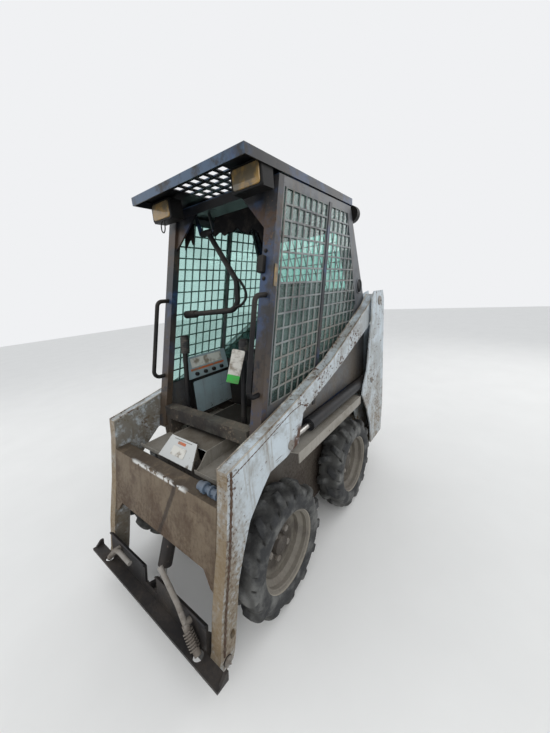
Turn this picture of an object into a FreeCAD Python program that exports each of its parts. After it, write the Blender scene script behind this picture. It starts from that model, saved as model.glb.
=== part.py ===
import FreeCAD
import Part
import math
import os

# Skid steer loader, millimetres. X points forward, Y to the machine's left, Z up.
# The machine is drawn with X = 0 midway between the axles, and every solid is moved
# at the end so that the origin lies under the middle of the whole machine.

# Clearances between pieces that fit, that pass each other, and between arms and cab
running_gap = 0.3
moving_gap = 6.0
side_gap = 12.0

# Lower frame: two closed drive cases joined by a belly plate and a front plate
frame_half_width = 298.0
frame_front_x = 480.0
frame_rear_x = -880.0
frame_bottom_z = 142.0
case_inner_y = 215.0
case_top_z = 430.0
case_front_reach = 105.0
case_rear_reach = 150.0
frame_plate = 8.0
frame_top_z = 655.0

# Wheels and axles
wheelbase = 722.0
tyre_radius = 276.0
tyre_half_width = 70.0
tyre_sides = 26
tyre_frame_gap = 14.0
lug_height = 20.0
lug_count = 13
lug_thickness = 36.0
lug_lean = 0.55
lug_root = 4.0
lug_overhang = 3.0
lug_foot = 34.0
shoulder_drop = 16.0
bead_half_width = 58.0
rim_seat_radius = 160.0
rim_lip_radius = 183.0
rim_well_radius = 140.0
rim_wall = 5.0
disc_outer_offset = -8.0
disc_thickness = 9.0
hub_radius = 62.0
hub_depth = 26.0
shaft_radius = 28.0
housing_radius = 48.0
wheel_center_y = frame_half_width + tyre_frame_gap + lug_overhang + tyre_half_width

# Fenders
fender_front_x = 277.0
fender_rear_x = -505.0
fender_outer_y = 430.0
fender_top_z = 672.0
fender_lip = 52.0
fender_slant = 45.0
sheet = 4.0

# Toe pans, center tunnel and step in front of the seat
pan_front_x = 552.0
pan_rear_x = 40.0
pan_inner_y = 128.0
pan_floor_z = 660.0
pan_side_height = 62.0
pan_nose = 30.0
step_front_x = 560.0
step_front_z = 672.0
step_rear_x = 492.0
step_rear_z = 748.0
step_front_half = 120.0
step_rear_half = 90.0

# Cab
cab_half_width = 350.0
cab_floor_z = 700.0
cab_front_foot_x = 408.0
cab_post_lean = 0.253
cab_post_depth = 34.0
cab_post_width = 56.0
cab_top_z = 1772.0
cab_rear_top_x = -540.0
cab_rear_bottom_x = -770.0
cab_rear_knee_z = 1235.0
cab_bar = 40.0
rear_sheet = 12.0
cab_wall = 6.0
header_height = 40.0
corner_height = 150.0
corner_reach = 142.0
corner_recess = 12.0
corner_plate = 10.0
cab_hinge_back = 14.0
cab_hinge_y = 200.0
cab_hinge_plate = 12.0
cab_hinge_pin = 8.0
bar_pin_radius = 8.0
bar_pivot_drop = 116.0
bar_sleeve_radius = 16.0
sill_z = 745.0
sill_height = 64.0
sill_depth = 54.0
roof_top_z = cab_top_z + 40.0
roof_front_x = 330.0
roof_rear_x = -555.0
roof_overhang = 4.0
roof_plate = 5.0
roof_lip = 34.0
roof_liner_front_x = 40.0
roof_hole = 37.0
roof_hole_pitch = 55.5
roof_hole_rows = 4
roof_hole_columns = 6
roof_hole_front_x = 241.0
roof_hole_middle_y = 25.0
window_top_z = cab_top_z - 37.0
window_bottom_z = 905.0
rear_window_rise = 40.0
rear_window_width = 330.0
rear_window_corner_rise = 330.0
rear_window_corner_back = 112.0
window_front_top_x = 105.0
mullion_top_x = -286.0
mullion_width = 34.0
glass_thickness = 5.0
glass_lap = 4.0
rear_window_low_z = cab_rear_knee_z + 95.0
rear_window_high_z = cab_top_z - 112.0
rear_window_half = cab_half_width - 100.0
rear_panel_inset = 17.0

# Inside the cab
console_width = 60.0
console_height = 215.0
console_half_length = 250.0
seat_box_front_x = 0.0
seat_box_rear_x = -420.0
seat_box_half = 200.0
seat_box_height = 200.0
seat_half = 195.0
seat_bottom_length = 400.0
seat_bottom_height = 90.0
seat_back_height = 398.0
seat_back_thickness = 75.0
seat_back_lean = 65.0
seat_back_plate = 6.0

# Lamps, handles and controls
lamp_front_x = 235.0
lamp_middle_y = 272.0
lamp_half_width = 75.0
lamp_height = 86.0
lamp_depth = 62.0
lamp_drop = 9.0
lamp_stem_half = 15.0
rear_lamp_y = 330.0
rear_lamp_radius = 46.0
rear_lamp_depth = 40.0
rear_lamp_arm = 26.0
handle_radius = 10.0
handle_inset = 24.0
handle_top_z = 1340.0
handle_bottom_z = 960.0
handle_reach = 62.0
handle_bend = 30.0
lever_x = 308.0
lever_y = 200.0
lever_base_half = 34.0
lever_base = 8.0
lever_boot_radius = 30.0
lever_boot_height = 60.0
lever_radius = 12.0
lever_elbow_z = 830.0
lever_top_z = 1080.0
lever_back = 30.0
lever_grip_radius = 20.0
lever_grip_length = 90.0

# Uprights at the rear, each an outer plate, an inner plate and a back plate
upright_inner_y = 326.0
upright_plate = 8.0
upright_rear_x = -965.0
upright_back_inset = 30.0
upright_top_z = 1305.0
upright_bottom_z = 240.0
upright_shoulder_z = 684.0

# Lift arms
arm_inner_y = cab_half_width + side_gap
arm_width = 50.0
arm_outer_y = arm_inner_y + arm_width
arm_pivot_x = -830.0
arm_pivot_z = 1240.0
arm_pin_radius = 24.0
knee_x = 620.0
knee_z = 803.0
foot_x = 728.0
foot_z = 118.0
foot_radius = 38.0
coupler_pin_radius = 18.0
leg_hole_back = 38.0
leg_hole_up = 70.0
leg_hole_radius = 11.0
leg_hole_length = 16.0
leg_hole_depth = 14.0
upright_outer_y = arm_outer_y + side_gap + upright_plate

# Cross member between the arm legs
cross_top_x = 643.0
cross_top_z = 668.0
cross_bottom_x = 692.0
cross_bottom_z = 418.0
cross_shelf_depth = 64.0
cross_plate = 10.0
cross_arch = 60.0

# Lift cylinders
lift_base_x = -700.0
lift_base_z = 722.0
lift_eye_x = 262.0
lift_eye_z = 722.0
lift_barrel_radius = 31.0
lift_barrel_length = 770.0
lift_rod_radius = 13.5
lift_eye_radius = 30.0
lift_pin_radius = 14.0
cylinder_plane_y = (arm_inner_y + arm_outer_y) / 2
cylinder_eye_width = 28.0
cylinder_lug_inner_y = arm_inner_y
cylinder_lug = 8.0

# Tilt cylinder
tilt_base_x = 560.0
tilt_base_z = 540.0
tilt_lug_height = 30.0
tilt_barrel_radius = 30.0
tilt_barrel_length = 330.0
tilt_rod_radius = 13.0
tilt_eye_radius = 17.0
tilt_pin_radius = 10.0
tilt_eye_width = 34.0
tilt_lug = 12.0

# Quick attach frame, measured from its pin: up along the plate and forward of it
attach_lean = -8.0
attach_half_width = 465.0
attach_plate_offset = 34.0
attach_plate = 10.0
attach_below = 30.0
attach_above = 136.0
attach_notch_half = 44.0
attach_notch_up = 62.0
attach_ledge_up = 18.0
attach_ledge_reach = 93.0
attach_end_height = 26.0
attach_ear = 12.0
wedge_y = 333.0
wedge_forward = 66.0
wedge_radius = 13.0
wedge_slot_gap = 6.0

# Engine, rear door and engine cover
engine_bottom_z = 190.0
engine_top_z = 640.0
engine_half_width = 210.0
engine_rear_x = -860.0
engine_front_x = -560.0
door_half_width = 316.0
door_thickness = 42.0
door_bottom_z = 300.0
door_top_z = 1066.0
door_rear_x = -967.0
hinge_radius = 9.0
hinge_x = -975.0
hinge_y = 321.0
cover_front_x = -795.0
cover_rear_x = -925.0
cover_bottom_z = 1076.0
cover_thickness = 26.0
cover_pin_radius = 6.0


def vec(x, y, z):
    return FreeCAD.Vector(x, y, z)


def box(x0, x1, y0, y1, z0, z1):
    return Part.makeBox(x1 - x0, y1 - y0, z1 - z0, vec(x0, y0, z0))


def prism(points, direction):
    face = Part.Face(Part.makePolygon(points + [points[0]]))
    return face.extrude(direction)


def plate_xz(outline, y0, y1):
    """A flat plate whose outline is given as (x, z) and which fills y0 to y1."""
    return prism([vec(x, y0, z) for x, z in outline], vec(0, y1 - y0, 0))


def plate_yz(outline, x0, x1):
    """A flat plate whose outline is given as (y, z) and which fills x0 to x1."""
    return prism([vec(x0, y, z) for y, z in outline], vec(x1 - x0, 0, 0))


def plate_xy(outline, z0, z1):
    """A flat plate whose outline is given as (x, y) and which fills z0 to z1."""
    return prism([vec(x, y, z0) for x, y in outline], vec(0, 0, z1 - z0))


def pin_y(x, z, radius, y0, y1):
    return Part.makeCylinder(radius, y1 - y0, vec(x, y0, z), vec(0, 1, 0))


def rod(start, end, radius):
    run = end - start
    return Part.makeCylinder(radius, run.Length, start, run)


def joined(pieces):
    whole = pieces[0].multiFuse(pieces[1:]) if len(pieces) > 1 else pieces[0]
    return whole.removeSplitter()


def apart(pieces):
    return Part.makeCompound(pieces)


def mirrored(shape):
    return shape.mirror(vec(0, 0, 0), vec(0, 1, 0))


def both_sides(shape):
    return [shape, mirrored(shape)]


def bent_tube(points, radius, bend):
    """A round tube along straight runs joined by tangent arcs of one bend radius."""
    edges = []
    start = points[0]
    for before, corner, after in zip(points, points[1:], points[2:]):
        come = (corner - before).normalize()
        leave = (after - corner).normalize()
        half_turn = come.getAngle(leave) / 2
        back = bend * math.tan(half_turn)
        arc_start = corner - come * back
        arc_end = corner + leave * back
        inward = (leave - come).normalize()
        center = corner + inward * (bend / math.cos(half_turn))
        arc_middle = center - inward * bend
        edges.append(Part.LineSegment(start, arc_start).toShape())
        edges.append(Part.Arc(arc_start, arc_middle, arc_end).toShape())
        start = arc_end
    edges.append(Part.LineSegment(start, points[-1]).toShape())
    path = Part.Wire(edges)
    ring = Part.Wire(Part.Circle(points[0], points[1] - points[0], radius).toShape())
    return path.makePipeShell([ring], True, True)


# Wheels: a lugged tyre on a deep dished rim, on a shaft that runs in the drive case

def faceted_ring(profile, inner_radius, sides):
    """A ring about Y whose outside is flat facets; profile holds (y, distance to facet)."""
    stretch = 1 / math.cos(math.pi / sides)

    def corner(y, distance, index):
        angle = 2 * math.pi * (index + 0.5) / sides
        reach = distance * stretch
        return vec(reach * math.sin(angle), y, -reach * math.cos(angle))

    loop = [(profile[0][0], inner_radius)] + profile + [(profile[-1][0], inner_radius)]
    faces = []
    for (y0, r0), (y1, r1) in zip(loop, loop[1:] + loop[:1]):
        for index in range(sides):
            quad = [corner(y0, r0, index), corner(y1, r1, index),
                    corner(y1, r1, index + 1), corner(y0, r0, index + 1)]
            faces.append(Part.Face(Part.makePolygon(quad + [quad[0]])))
    return Part.makeSolid(Part.makeShell(faces))


def tyre_lug(side):
    """One lug below the axle: a leaning bar that runs over the shoulder of the tyre."""
    casing = tyre_radius - lug_height
    inner = -6.0
    outer = tyre_half_width + lug_overhang
    crown = tyre_half_width - 14.0
    outline = [
        (inner, casing - lug_root),
        (inner, tyre_radius),
        (crown, tyre_radius),
        (outer, tyre_radius - shoulder_drop),
        (outer, casing - lug_foot),
        (outer - 10.0, casing - lug_foot),
    ]
    points = []
    for across, radius in outline:
        along = lug_lean * (across - inner) - lug_thickness / 2
        reach = max(abs(along), abs(along + lug_thickness))
        points.append(vec(along, side * across, -math.sqrt(radius ** 2 - reach ** 2)))
    return prism(points, vec(lug_thickness, 0, 0))


def tyre():
    casing = tyre_radius - lug_height
    bead_foot = bead_half_width + 3.0 - rim_wall - 4.0 - 2 * running_gap
    bead_edge = bead_half_width + 3.0 - rim_wall - 2 * running_gap
    profile = [
        (-bead_foot, rim_seat_radius + 2 * running_gap + 0.2),
        (-bead_edge, rim_lip_radius),
        (-tyre_half_width, rim_seat_radius + 52.0),
        (-tyre_half_width + 4.0, casing - 18.0),
        (-tyre_half_width + 18.0, casing),
        (tyre_half_width - 18.0, casing),
        (tyre_half_width - 4.0, casing - 18.0),
        (tyre_half_width, rim_seat_radius + 52.0),
        (bead_edge, rim_lip_radius),
        (bead_foot, rim_seat_radius + 2 * running_gap + 0.2),
    ]
    ring = faceted_ring(profile, rim_seat_radius + 2 * running_gap, tyre_sides)
    lugs = []
    for index in range(lug_count):
        for side, phase in ((1, 0.0), (-1, 0.5)):
            lug = tyre_lug(side)
            lug.rotate(vec(0, 0, 0), vec(0, 1, 0), 360.0 * (index + phase) / lug_count)
            lugs.append(lug)
    return ring.multiFuse(lugs).removeSplitter()


def rim():
    """Barrel with two lips, a recessed disc, a hub and the shaft, turned about Y."""
    lip = bead_half_width + 3.0
    disc_in = disc_outer_offset - disc_thickness
    shaft_end = frame_half_width + moving_gap - wheel_center_y
    profile = [
        (shaft_end, 0.0),
        (shaft_end, shaft_radius),
        (disc_in - hub_depth, shaft_radius),
        (disc_in - hub_depth, hub_radius),
        (disc_in, hub_radius + 8.0),
        (disc_in, rim_well_radius - rim_wall),
        (-lip + 14.0, rim_seat_radius - rim_wall),
        (-lip, rim_lip_radius - 8.0),
        (-lip, rim_lip_radius),
        (-lip + rim_wall, rim_lip_radius),
        (-lip + rim_wall + 4.0, rim_seat_radius),
        (-18.0, rim_seat_radius),
        (-10.0, rim_well_radius),
        (14.0, rim_well_radius),
        (26.0, rim_seat_radius),
        (lip - rim_wall - 4.0, rim_seat_radius),
        (lip - rim_wall, rim_lip_radius),
        (lip, rim_lip_radius),
        (lip, rim_lip_radius - 8.0),
        (lip - 14.0, rim_seat_radius - rim_wall),
        (28.0, rim_seat_radius - rim_wall),
        (12.0, rim_well_radius - rim_wall),
        (disc_outer_offset, rim_well_radius - rim_wall),
        (disc_outer_offset, 46.0),
        (disc_outer_offset + 22.0, 40.0),
        (disc_outer_offset + 28.0, 22.0),
        (disc_outer_offset + 28.0, 0.0),
    ]
    points = [vec(0, y, radius) for y, radius in profile]
    face = Part.Face(Part.makePolygon(points + [points[0]]))
    return face.revolve(vec(0, 0, 0), vec(0, 1, 0), 360)


def wheels():
    tyre_left = tyre()
    rim_left = rim()
    found = {}
    for end, sign in (("front", 1), ("rear", -1)):
        place = vec(sign * wheelbase / 2, wheel_center_y, tyre_radius)
        for name, shape in (("tyre", tyre_left), ("rim", rim_left)):
            left = shape.copy()
            left.translate(place)
            found[name + "_" + end + "_left"] = left
            found[name + "_" + end + "_right"] = mirrored(left)
    return found


# Lower frame

def lower_frame():
    case_front = wheelbase / 2 + case_front_reach
    case_rear = -wheelbase / 2 - case_rear_reach
    wall_inner = frame_half_width - frame_plate
    belly_top = frame_bottom_z + frame_plate
    seat_z = cab_floor_z - running_gap
    seat_rear = cab_rear_bottom_x + cab_bar - 10.0
    case = box(case_rear, case_front, case_inner_y, frame_half_width, frame_bottom_z, case_top_z)
    wall = box(frame_rear_x, frame_front_x, wall_inner, frame_half_width,
               case_top_z - frame_plate, frame_top_z)
    rise = box(seat_rear, cab_front_foot_x, wall_inner, frame_half_width, frame_top_z, seat_z)
    flange = box(seat_rear, cab_front_foot_x, wall_inner, cab_half_width - cab_wall,
                 seat_z - frame_plate, seat_z)
    tail = box(frame_rear_x, case_rear, wall_inner, frame_half_width, frame_bottom_z, case_top_z)
    belly = box(frame_rear_x, frame_front_x, -frame_half_width, frame_half_width,
                frame_bottom_z, belly_top)
    front = box(frame_front_x - frame_plate, frame_front_x, -frame_half_width, frame_half_width,
                frame_bottom_z, frame_top_z)
    back = box(frame_rear_x, frame_rear_x + frame_plate, -frame_half_width, frame_half_width,
               frame_bottom_z, door_bottom_z - moving_gap)
    pieces = [belly, front, back]
    for piece in (case, wall, rise, flange, tail):
        pieces += both_sides(piece)
    for x in (engine_rear_x + 20.0, engine_front_x - 60.0):
        pieces += both_sides(box(x, x + 40.0, engine_half_width - 60.0, engine_half_width - 20.0,
                                 belly_top, engine_bottom_z))
    return joined(pieces)


def axle_housings():
    pieces = []
    inner_end = wheel_center_y + disc_outer_offset - disc_thickness - hub_depth - moving_gap
    for sign in (1, -1):
        x = sign * wheelbase / 2
        tube = pin_y(x, tyre_radius, housing_radius, frame_half_width, inner_end)
        bore = pin_y(x, tyre_radius, shaft_radius + running_gap, frame_half_width, inner_end)
        pieces += both_sides(tube.cut(bore))
    return apart(pieces)


def fenders():
    """A flat flange over both wheels with an outer lip, cut on a slant at its front end."""
    inner = frame_half_width
    flange = plate_xy([(fender_rear_x, inner), (fender_front_x, inner),
                       (fender_front_x - fender_slant, fender_outer_y),
                       (fender_rear_x, fender_outer_y)],
                      fender_top_z - sheet, fender_top_z)
    lip = box(fender_rear_x, fender_front_x - fender_slant, fender_outer_y - sheet,
              fender_outer_y, fender_top_z - fender_lip, fender_top_z)
    foot = box(fender_rear_x, fender_front_x, inner, inner + sheet,
               frame_top_z - 30.0, fender_top_z)
    return apart(both_sides(joined([flange, lip, foot])))


def toe_pans():
    """Left and right pan for the driver's feet, each with a raised inner side."""
    outer = frame_half_width - frame_plate
    top = pan_floor_z + pan_side_height
    floor = box(pan_rear_x, pan_front_x, pan_inner_y, outer, pan_floor_z - sheet, pan_floor_z)
    inner_side = plate_xz([(pan_rear_x, pan_floor_z), (pan_front_x, pan_floor_z),
                           (pan_front_x - pan_nose, pan_floor_z + 18.0),
                           (frame_front_x, top), (pan_rear_x, top)],
                          pan_inner_y, pan_inner_y + sheet)
    front_lip = box(pan_front_x - sheet, pan_front_x, pan_inner_y, outer,
                    pan_floor_z, pan_floor_z + 14.0)
    hanger = box(frame_front_x - frame_plate, frame_front_x, pan_inner_y, outer,
                 frame_top_z, pan_floor_z)
    return apart(both_sides(joined([floor, inner_side, front_lip, hanger])))


def center_step():
    """The sloping plate between the toe pans and the tunnel cover behind it."""
    top = [vec(step_front_x, -step_front_half, step_front_z),
           vec(step_front_x, step_front_half, step_front_z),
           vec(step_rear_x, step_rear_half, step_rear_z),
           vec(step_rear_x, -step_rear_half, step_rear_z)]
    sloped = prism(top, vec(-5.0, 0, -5.0))
    post = box(frame_front_x - frame_plate, step_rear_x + 8.0, -60.0, 60.0,
               frame_top_z, step_rear_z - 6.0)
    tunnel_top = pan_floor_z + pan_side_height
    tunnel = box(pan_rear_x, frame_front_x, -pan_inner_y, pan_inner_y,
                 tunnel_top - sheet, tunnel_top)
    return joined([sloped, post, tunnel])


def front_sill():
    """Square tube across the frame between the feet of the cab's front posts."""
    x1 = post_x(sill_z) - 4.0
    half = cab_half_width - cab_post_width - moving_gap
    tube = box(x1 - sill_depth, x1, -half, half, sill_z, sill_z + sill_height)
    wall = frame_half_width - frame_plate
    leg = box(x1 - sill_depth, x1, wall - 32.0, wall, pan_floor_z, sill_z)
    return joined([tube] + both_sides(leg))


def control_levers():
    """Two steering levers with boots, each on a base plate on a toe pan."""
    x = lever_x
    y = lever_y
    base_top = pan_floor_z + lever_base
    base = box(x - lever_base_half, x + lever_base_half, y - lever_base_half,
               y + lever_base_half, pan_floor_z, base_top)
    boot = Part.makeCone(lever_boot_radius, lever_boot_radius / 2, lever_boot_height,
                         vec(x, y, base_top), vec(0, 0, 1))
    top = vec(x - lever_back, y + 5.0, lever_top_z)
    stick = bent_tube([vec(x, y, pan_floor_z + lever_boot_height), vec(x, y, lever_elbow_z), top],
                      lever_radius, 5 * lever_radius)
    grip_foot = top - vec(2.0, 0, 5.0)
    grip = rod(grip_foot, grip_foot + vec(-10.0, 0, lever_grip_length), lever_grip_radius)
    return apart(both_sides(joined([base, boot, stick, grip])))


# Uprights

def upright_low_outline():
    """Side outline of an upright from its belly round the tail to the top, as (x, z)."""
    return [
        (-528.0, 671.0),
        (-627.0, 527.0),
        (-695.0, 385.0),
        (-712.0, upright_bottom_z),
        (upright_rear_x + 25.0, upright_bottom_z),
        (upright_rear_x, 470.0),
        (upright_rear_x + 30.0, 1240.0),
        (upright_rear_x + 62.0, upright_top_z),
    ]


def upright():
    low = upright_low_outline()
    outer_front = [(-730.0, upright_top_z), (-687.0, 1268.0), (-685.0, 1127.0), (-653.0, 1003.0),
                   (-614.0, 814.0), (-553.0, 730.0)]
    inner_front_x = cab_rear_bottom_x - side_gap
    inner_front = [(inner_front_x - 22.0, upright_top_z - 15.0),
                   (inner_front_x - 8.0, arm_pivot_z), (inner_front_x, arm_pivot_z - 40.0),
                   (inner_front_x, upright_shoulder_z), (-538.0, upright_shoulder_z)]
    back_x = upright_rear_x + upright_back_inset
    inner_end = upright_inner_y + upright_plate
    outer_start = upright_outer_y - upright_plate
    outer = plate_xz(low + outer_front, outer_start, upright_outer_y)
    inner = plate_xz(low + inner_front, upright_inner_y, inner_end)
    back = box(back_x, back_x + upright_plate, upright_inner_y, upright_outer_y,
               upright_bottom_z, door_top_z)
    floor = box(back_x, -715.0, upright_inner_y, upright_outer_y,
                upright_bottom_z, upright_bottom_z + upright_plate)
    tie = box(frame_rear_x, -700.0, frame_half_width, upright_inner_y, upright_bottom_z, case_top_z)
    arm_pin = pin_y(arm_pivot_x, arm_pivot_z, arm_pin_radius, upright_inner_y, upright_outer_y + 6.0)
    lift_pin = pin_y(lift_base_x, lift_base_z, lift_pin_radius, cylinder_lug_inner_y,
                     upright_outer_y + 5.0)
    lug = plate_xz([(lift_base_x + 19.0, lift_base_z + 6.0), (lift_base_x + 6.0, lift_base_z + 20.0),
                    (lift_base_x - 16.0, lift_base_z + 20.0), (lift_base_x - 52.0, 640.0),
                    (lift_base_x + 4.0, 640.0), (lift_base_x + 19.0, lift_base_z - 34.0)],
                   cylinder_lug_inner_y, cylinder_lug_inner_y + cylinder_lug)
    lug_tie = box(lift_base_x - 52.0, lift_base_x + 4.0, inner_end, cylinder_lug_inner_y,
                  640.0, upright_shoulder_z)
    whole = joined([outer, inner, back, floor, tie, arm_pin, lift_pin, lug, lug_tie])
    cover_x, cover_z = cover_axis()
    bore = pin_y(cover_x, cover_z, cover_pin_radius + running_gap, upright_inner_y - 1.0,
                 inner_end + 1.0)
    return joined([whole.cut(bore)] + door_hinge(upright_inner_y, inner_end, 1))


def door_hinge(y0, y1, row):
    """Knuckles of the rear door's hinge on one leaf: row 0 sits below row 1."""
    pieces = []
    for z in (480.0, 860.0):
        z0 = z + row * (40.0 + running_gap)
        pieces.append(Part.makeCylinder(hinge_radius, 40.0, vec(hinge_x, hinge_y, z0), vec(0, 0, 1)))
        pieces.append(box(hinge_x, upright_rear_x + 20.0 if row else door_rear_x, y0, y1, z0, z0 + 40.0))
    return pieces


def tail_frame():
    """Cross bar and tie down plate at the tail, and the bar that carries the cab's hinge."""
    bar_rear = upright_rear_x + upright_back_inset
    bar = box(bar_rear, frame_rear_x, -upright_inner_y, upright_inner_y,
              upright_bottom_z, door_bottom_z - moving_gap)
    tie_down = box(bar_rear - 45.0, bar_rear, -40.0, 40.0, upright_bottom_z + 8.0,
                   upright_bottom_z + 20.0)
    eye = Part.makeCylinder(13.0, 40.0, vec(bar_rear - 22.0, 0, upright_bottom_z), vec(0, 0, 1))
    pivot_x, pivot_z = cab_pivot()
    beam = box(pivot_x - 48.0, pivot_x - 28.0, -upright_inner_y, upright_inner_y,
               pivot_z - 10.0, pivot_z + 10.0)
    lug_y = cab_hinge_y + cab_hinge_plate + running_gap
    lug = plate_xz([(pivot_x - 28.0, pivot_z - 10.0), (pivot_x + 4.0, pivot_z - 10.0),
                    (pivot_x + 10.0, pivot_z), (pivot_x + 4.0, pivot_z + 10.0),
                    (pivot_x - 28.0, pivot_z + 10.0)], lug_y, lug_y + cab_hinge_plate)
    pin = pin_y(pivot_x, pivot_z, cab_hinge_pin, cab_hinge_y - 2.0, lug_y + cab_hinge_plate)
    upper = joined([beam] + both_sides(lug) + both_sides(pin))
    return apart([joined([bar, tie_down]).cut(eye), upper])


def engine_block():
    return box(engine_rear_x, engine_front_x, -engine_half_width, engine_half_width,
               engine_bottom_z, engine_top_z)


# Lift arms

def near_front_tyre(degrees, clearance):
    """A point at a clearance outside the front tyre, as (x, z)."""
    reach = tyre_radius + clearance
    angle = math.radians(degrees)
    return wheelbase / 2 + reach * math.cos(angle), tyre_radius + reach * math.sin(angle)


def beside_arm_line(share, rise):
    """A point at a share of the way from rear pivot to knee, raised by a height."""
    return (arm_pivot_x + share * (knee_x - arm_pivot_x),
            arm_pivot_z + share * (knee_z - arm_pivot_z) + rise)


def arm():
    """Tapered box arm from the rear pivot to the knee, and the leg down to the foot."""
    outline = [
        (arm_pivot_x - 30.0, arm_pivot_z + 44.0),
        (arm_pivot_x + 60.0, arm_pivot_z + 46.0),
        beside_arm_line(0.10, 27.0),
        beside_arm_line(0.487, -40.0),
        beside_arm_line(0.717, -31.0),
        beside_arm_line(0.882, -15.5),
        (knee_x, knee_z),
        (knee_x + 12.0, knee_z - 90.0),
        (knee_x + 52.0, knee_z - 296.0),
        (foot_x - 4.0, foot_z + 183.0),
        (foot_x + 26.0, foot_z + 28.0),
        (foot_x + foot_radius, foot_z),
        (foot_x + 26.0, foot_z - 28.0),
        (foot_x, foot_z - foot_radius),
        (foot_x - 26.0, foot_z - 28.0),
        (foot_x - foot_radius, foot_z),
        (foot_x - 49.0, foot_z + 42.0),
        near_front_tyre(-3.0, 19.0),
        near_front_tyre(19.5, 10.0),
        near_front_tyre(40.0, 22.0),
        (knee_x - 78.0, knee_z - 239.0),
        (knee_x - 156.0, knee_z - 166.0),
        (knee_x - 211.0, knee_z - 122.0),
        (lift_eye_x + 38.0, lift_eye_z - 38.0),
        (lift_eye_x - 57.0, lift_eye_z - 22.0),
        (lift_eye_x - 112.0, lift_eye_z + 104.0),
        beside_arm_line(0.405, -125.0),
        beside_arm_line(0.117, -107.0),
        (arm_pivot_x - 20.0, arm_pivot_z - 52.0),
        (arm_pivot_x - 52.0, arm_pivot_z - 10.0),
    ]
    solid = plate_xz(outline, arm_inner_y, arm_outer_y)
    slot_half = cylinder_eye_width / 2 + running_gap
    slot = box(lift_eye_x - 130.0, lift_eye_x + 120.0, cylinder_plane_y - slot_half,
               cylinder_plane_y + slot_half, lift_eye_z - 130.0, lift_eye_z + 90.0)
    bore = pin_y(arm_pivot_x, arm_pivot_z, arm_pin_radius + running_gap, arm_inner_y, arm_outer_y)
    foot_bore = pin_y(foot_x, foot_z, coupler_pin_radius + running_gap, arm_inner_y, arm_outer_y)
    solid = solid.cut(slot).cut(bore).cut(foot_bore).cut(leg_hole())
    return solid


def leg_hole():
    """The upright oval pocket in the outside of a leg, above its foot."""
    x = foot_x - leg_hole_back
    low = foot_z + leg_hole_up
    high = low + leg_hole_length
    y0 = arm_outer_y - leg_hole_depth
    y1 = arm_outer_y + 1.0
    return joined([pin_y(x, low, leg_hole_radius, y0, y1), pin_y(x, high, leg_hole_radius, y0, y1),
                   box(x - leg_hole_radius, x + leg_hole_radius, y0, y1, low, high)])


def cross_front_x(z):
    """The front face of the cross member, which leans with the legs."""
    share = (cross_top_z - z) / (cross_top_z - cross_bottom_z)
    return cross_top_x + share * (cross_bottom_x - cross_top_x)


def cross_member():
    """Folded plate between the legs: a deep front with arched lower corners and a shelf."""
    half = arm_inner_y
    bottom = cross_bottom_z
    low = bottom - cross_arch
    front = plate_xz([(cross_front_x(cross_top_z), cross_top_z), (cross_front_x(low), low),
                      (cross_front_x(low) - cross_plate, low),
                      (cross_front_x(cross_top_z) - cross_plate, cross_top_z)], -half, half)
    arch = plate_yz([(-half + 1.0, low - 1.0), (-half + 22.0, low + 8.0),
                     (-half + cross_arch, bottom), (half - cross_arch, bottom),
                     (half - 22.0, low + 8.0), (half - 1.0, low - 1.0)],
                    cross_top_x - 50.0, cross_bottom_x + 50.0)
    rear_x = cross_top_x - cross_shelf_depth
    shelf = box(rear_x, cross_top_x, -half, half, cross_top_z - cross_plate, cross_top_z)
    lug_y = tilt_eye_width / 2 + running_gap
    under = cross_top_z - cross_plate
    lug = plate_xz([(tilt_base_x - 22.0, tilt_base_z + 6.0), (tilt_base_x - 10.0, tilt_base_z - 18.0),
                    (tilt_base_x + 18.0, tilt_base_z - 18.0),
                    (cross_front_x(tilt_base_z) - cross_plate, tilt_base_z),
                    (cross_front_x(under) - cross_plate, under), (rear_x, under)],
                   lug_y, lug_y + tilt_lug)
    pin = pin_y(tilt_base_x, tilt_base_z, tilt_pin_radius, -lug_y - tilt_lug - 4.0,
                lug_y + tilt_lug + 4.0)
    return joined([front.cut(arch), shelf] + both_sides(lug) + [pin])


def hose_coupler():
    """Quick hydraulic coupler on the shelf beside the left leg."""
    z = cross_top_z + 20.0
    x = cross_top_x - 34.0
    body = pin_y(x, z, 13.0, 262.0, arm_inner_y)
    nose = pin_y(x, z, 17.0, 240.0, 275.0)
    foot = box(x - 10.0, x + 10.0, 300.0, 330.0, cross_top_z, z)
    return joined([body, nose, foot])


# Cylinders

def barrel(base, eye, radius, length, pin_radius, eye_width, rod_radius):
    """Cylinder barrel with a neck and an eye at its base, bored for its rod."""
    along = (eye - base).normalize()
    start = pin_radius + 23.0
    body = rod(base + along * start, base + along * length, radius)
    neck = rod(base, base + along * (start + 1.0), eye_width / 2 - 2.0)
    knuckle = pin_y(base.x, base.z, pin_radius + 12.0, base.y - eye_width / 2, base.y + eye_width / 2)
    whole = joined([body, neck, knuckle])
    hollow = rod(base + along * (start + 12.0), base + along * (length + 1.0),
                 rod_radius + running_gap)
    hole = pin_y(base.x, base.z, pin_radius + running_gap, base.y - radius, base.y + radius)
    return whole.cut(hollow).cut(hole)


def piston_rod(base, eye, rod_radius, eye_radius, pin_radius, eye_width):
    """Rod from inside the barrel to a solid eye, which stays clear of what it pushes."""
    along = (eye - base).normalize()
    inner_end = base + along * (pin_radius + 23.0 + 12.0 + 8.0)
    shaft = rod(inner_end, eye - along * (eye_radius * 0.6), rod_radius)
    knuckle = pin_y(eye.x, eye.z, eye_radius, eye.y - eye_width / 2, eye.y + eye_width / 2)
    return joined([shaft, knuckle])


def lift_points():
    base = vec(lift_base_x, cylinder_plane_y, lift_base_z)
    eye = vec(lift_eye_x, cylinder_plane_y, lift_eye_z)
    return base, eye


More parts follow.
